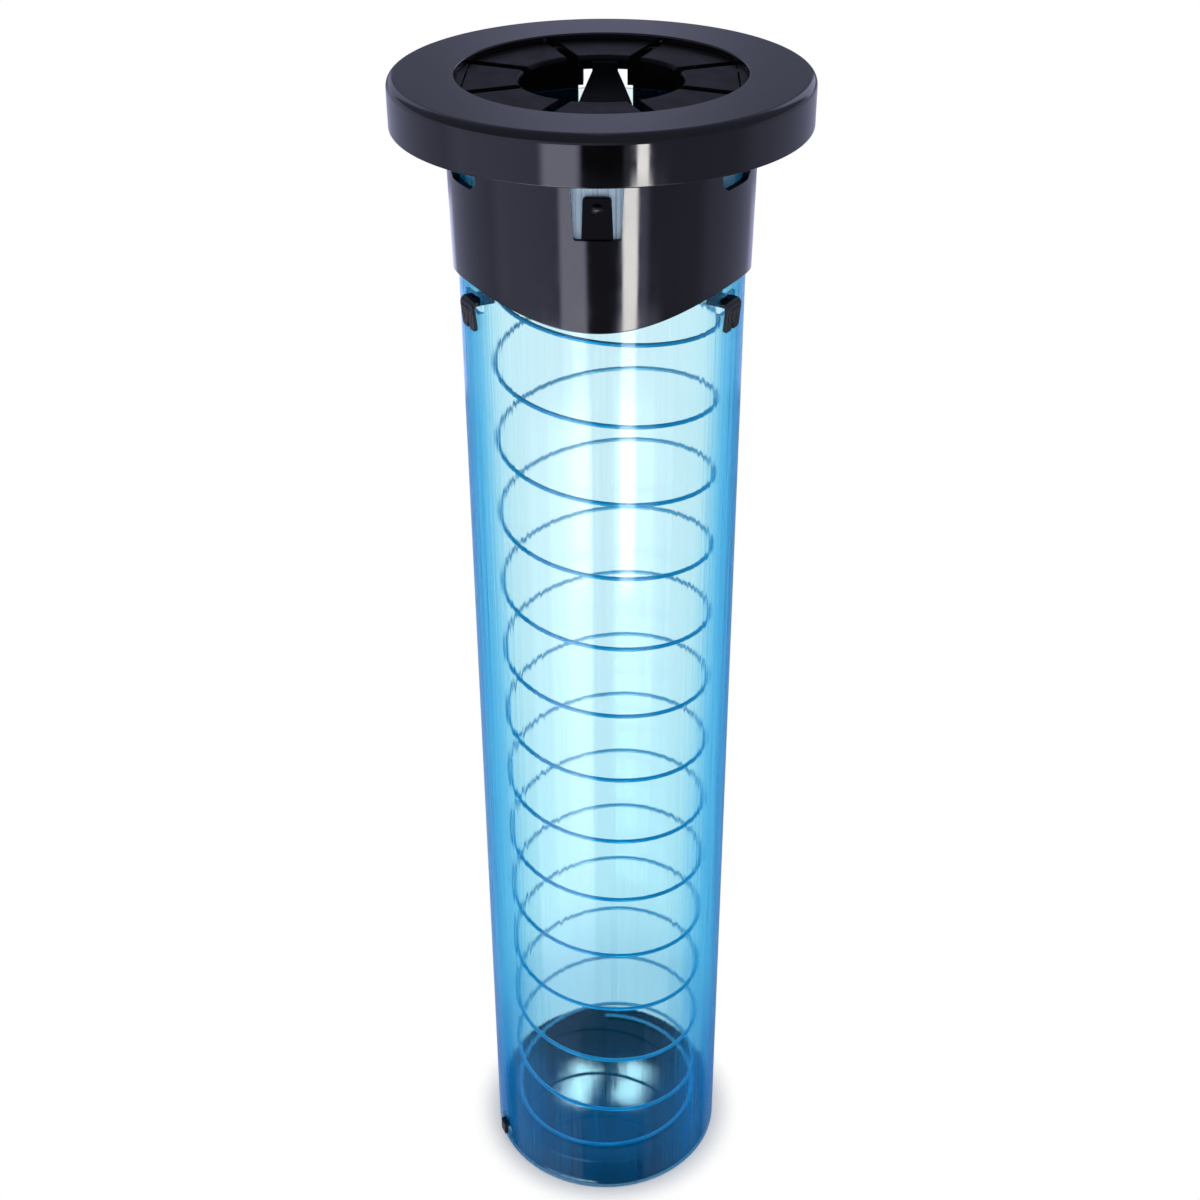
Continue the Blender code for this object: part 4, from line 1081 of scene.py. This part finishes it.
def white_floor():
    """White table top. It fades into the white background before its rim."""
    made, tree = material("white_table")
    here = add(tree, "ShaderNodeNewGeometry").outputs["Position"]
    flat = add(tree, "ShaderNodeVectorMath", {0: here, 1: (1.0, 1.0, 0.0)}, operation="MULTIPLY")
    far = add(tree, "ShaderNodeVectorMath", {0: flat.outputs[0]}, operation="LENGTH")
    # Paint that takes a soft shadow close to the tube, pure white a hand's width from its axis
    fade = add(
        tree,
        "ShaderNodeMapRange",
        {"Value": far.outputs["Value"], "From Min": 0.069, "From Max": 0.088},
        **SOFTLY,
    )
    path = add(tree, "ShaderNodeLightPath")
    # The pure white is for the eye only, also through the tube. To all else the table is paint
    seen = add(
        tree,
        "ShaderNodeMath",
        {0: path.outputs["Is Camera Ray"], 1: path.outputs["Is Transmission Ray"]},
        operation="MAXIMUM",
    )
    share = add(tree, "ShaderNodeMath", {0: fade.outputs[0], 1: seen.outputs[0]}, operation="MULTIPLY")
    paint = add(tree, "ShaderNodeBsdfDiffuse", {"Color": linear("#FFFFFF")})
    glow = add(tree, "ShaderNodeEmission", {"Color": linear("#FFFFFF"), "Strength": 1.0})
    both = add(
        tree, "ShaderNodeMixShader", {0: share.outputs[0], 1: paint.outputs[0], 2: glow.outputs[0]}
    )
    # What a glossy surface mirrors is the dim studio, not the table
    mirrored = add(
        tree, "ShaderNodeMath", {0: path.outputs["Glossy Depth"], 1: 0.5}, operation="GREATER_THAN"
    )
    gone = add(tree, "ShaderNodeBsdfTransparent")
    shown = add(
        tree, "ShaderNodeMixShader", {0: mirrored.outputs[0], 1: both.outputs[0], 2: gone.outputs[0]}
    )
    add(tree, "ShaderNodeOutputMaterial", {"Surface": shown.outputs[0]})
    work = bmesh.new()
    bmesh.ops.create_circle(work, cap_ends=True, segments=128, radius=0.60)
    floor = piece_from("table_top", work)
    # Just under the tube's lower end, so that the two faces don't lie in one plane
    floor.location.z = -0.0002
    floor.data.materials.append(made)
    floor.visible_glossy = False


# What the gloss mirrors. Each zone has its azimuth from and to and its softness, its rise from and to
# and its softness, all in degrees, and its brightness. A later zone lies over an earlier one.
STUDIO_ZONES = (
    # Walls at both sides and behind, darker behind at the height of the eye
    (-200, -84, 14, -25, 9, 2, 0.66),
    (84, 200, 16, -25, 9, 2, 0.58),
    (-200, -150, 10, -8, 10, 4, 0.2),
    (150, 200, 10, -8, 10, 4, 0.2),
    # Ceiling, for the top of the ring, brighter behind
    (-200, 200, 9, 10, 100, 3, 0.31),
    (-200, -175, 6, 10, 100, 3, 0.52),
    (178.5, 200, 6, 10, 100, 3, 0.52),
    # A soft light on each side, behind and above
    (138, 162, 6, 0, 36, 8, 1.2),
    (-162, -138, 6, 0, 36, 8, 0.8),
    # A light band behind, 19 to 25 degrees under the horizon
    (-200, -150, 10, -25.2, -19, 1, 1.4),
    (150, 200, 10, -25.2, -19, 1, 0.9),
    # Below: dark, a little lighter at both sides and behind
    (-200, 200, 9, -100, -25.2, 1, 0.10),
    (-110, -24, 4, -100, -45, 3, 0.85),
    (43, 120, 4, -100, -45, 3, 0.5),
    (-200, -130, 12, -100, -25.2, 1, 0.6),
    (130, 200, 12, -100, -25.2, 1, 0.4),
    # Grey panel on the left, brightest near the middle
    (-65, -9, 6, -44, -25.7, 3, 3.0),
    (-46, -9, 6, -42, -25.7, 3, 5.5),
    (-30, -9, 6, -40, -25.7, 3, 8.0),
    (-30, -10, 5, -25.2, -15.5, 1, 3.4),
    # Black in front, where the camera stands
    (-9, 13, 2, -19, -15.5, 1, 0.01),
    (-9, 13, 4, -25.2, -19, 1, 0.16),
    # Bright strip on the right, with a soft rim, and wider low down
    (20, 26, 1, -19, -15.5, 1, 17.0),
    (14.5, 36, 6, -25.2, -19, 1, 1.3),
    (17.0, 28.0, 3, -25.2, -19, 1, 15.0),
    (12, 46, 10, -36, -25.2, 3, 3.6),
    (16, 28, 8, -31.3, -25.2, 1, 22.0),
)


def background():
    """White behind the object and through it. Its gloss sees dim studio walls, with a grey panel on the
    left, a bright strip on the right, and black between the two where the camera stands."""
    world = bpy.data.worlds.new("studio")
    bpy.context.scene.world = world
    world.use_nodes = True
    tree = world.node_tree
    tree.nodes.clear()
    path = add(tree, "ShaderNodeLightPath")
    place = add(tree, "ShaderNodeTexCoord")
    split = add(tree, "ShaderNodeSeparateXYZ", {0: place.outputs["Generated"]})
    # Under all zones the walls are light on the left and dim on the right
    side = add(
        tree,
        "ShaderNodeMapRange",
        {"Value": split.outputs["X"], "From Min": -0.8, "From Max": 0.4, "To Min": 1.0, "To Max": 0.39},
        **SOFTLY,
    )
    front = add(tree, "ShaderNodeMath", {0: split.outputs["Y"], 1: -1.0}, operation="MULTIPLY")
    azimuth = add(
        tree, "ShaderNodeMath", {0: split.outputs["X"], 1: front.outputs[0]}, operation="ARCTAN2"
    )
    rise = add(tree, "ShaderNodeMath", {0: split.outputs["Z"]}, operation="ARCSINE")
    level = side.outputs[0]
    for first, last, blur, low, high, soft, bright in STUDIO_ZONES:
        share = None
        # The zone's share rises over its first edge and falls over its last one, across and then up
        for angle, edge, width in (
            (azimuth, first, blur),
            (azimuth, last, -blur),
            (rise, low, soft),
            (rise, high, -soft),
        ):
            step = add(
                tree,
                "ShaderNodeMapRange",
                {
                    "Value": angle.outputs[0],
                    "From Min": math.radians(edge - width / 2),
                    "From Max": math.radians(edge + width / 2),
                },
                **SOFTLY,
            )
            if share:
                pair = {0: share.outputs[0], 1: step.outputs[0]}
                step = add(tree, "ShaderNodeMath", pair, operation="MULTIPLY")
            share = step
        zone = add(tree, "ShaderNodeMix", {"Factor": share.outputs[0], "A": level, "B": bright})
        level = zone.outputs["Result"]
    # The dim walls look bluish, the bright strip white
    strength = add(tree, "ShaderNodeMapRange", {"Value": level, "From Min": 1.0, "From Max": 8.0})
    tint = add(
        tree,
        "ShaderNodeMix",
        {"Factor": strength.outputs[0], "A": linear("#D4D8FF"), "B": linear("#FFFDFA")},
        data_type="RGBA",
    )
    walls = add(tree, "ShaderNodeBackground", {"Color": tint.outputs["Result"], "Strength": level})
    fill = add(tree, "ShaderNodeBackground", {"Color": linear("#FFFFFF"), "Strength": 1.0})
    # Only what a surface mirrors sees the dim walls, also where it has passed the clear tube after that
    mirrored = add(
        tree, "ShaderNodeMath", {0: path.outputs["Glossy Depth"], 1: 0.5}, operation="GREATER_THAN"
    )
    gloss = add(
        tree, "ShaderNodeMixShader", {0: mirrored.outputs[0], 1: fill.outputs[0], 2: walls.outputs[0]}
    )
    add(tree, "ShaderNodeOutputWorld", {"Surface": gloss.outputs[0]})


def back_window():
    """Two bright panes behind and above. They show only through the tube, as what the glossy top of the
    base plug mirrors."""
    radiance, apart, away, up = 600.0, 0.039, 1.02, 1.12
    tilt, lean = math.radians(47.0), math.radians(-22.0)
    for number, across in enumerate((-apart, apart), 1):
        light = bpy.data.lights.new(f"back_pane_{number}", "AREA")
        light.shape = "RECTANGLE"
        light.size, light.size_y = 0.036, 0.056
        light.energy = radiance * math.pi * light.size * light.size_y
        pane = bpy.data.objects.new(f"back_pane_{number}", light)
        bpy.context.scene.collection.objects.link(pane)
        pane.matrix_world = (
            turn(SHOT_AZIMUTH)
            @ Matrix.Translation((across, away, up))
            @ turn(math.pi)
            @ Matrix.Rotation(tilt, 4, "X")
            @ turn(lean)
        )
        pane.visible_camera = False
        pane.visible_diffuse = False
        pane.visible_glossy = False


def camera():
    """The photograph's camera: 892 mm up, 816 mm away, looking 31.8 degrees down."""
    pitch, roll, yaw = 0.5544, -0.0058, -0.0025
    away, above_top = 0.8157, 0.2205
    focus_pixels, frame_pixels, film_mm = 1773.1, 1200, 36.0
    level = math.cos(pitch)
    forward = Vector((math.sin(yaw) * level, math.cos(yaw) * level, -math.sin(pitch)))
    right = Vector((math.cos(yaw), -math.sin(yaw), 0.0))
    up = right.cross(forward)
    right, up = (
        math.cos(roll) * right + math.sin(roll) * up,
        -math.sin(roll) * right + math.cos(roll) * up,
    )
    place = Matrix((right, up, -forward)).transposed().to_4x4()
    place.translation = Vector((0.0, -away, TOP + above_top))
    data = bpy.data.cameras.new("camera")
    data.sensor_width = film_mm
    data.lens = focus_pixels / frame_pixels * film_mm
    made = bpy.data.objects.new("camera", data)
    bpy.context.scene.collection.objects.link(made)
    made.matrix_world = turn(SHOT_AZIMUTH) @ place
    bpy.context.scene.camera = made


white_floor()
background()
back_window()
camera()
bpy.context.scene.view_settings.view_transform = "Standard"
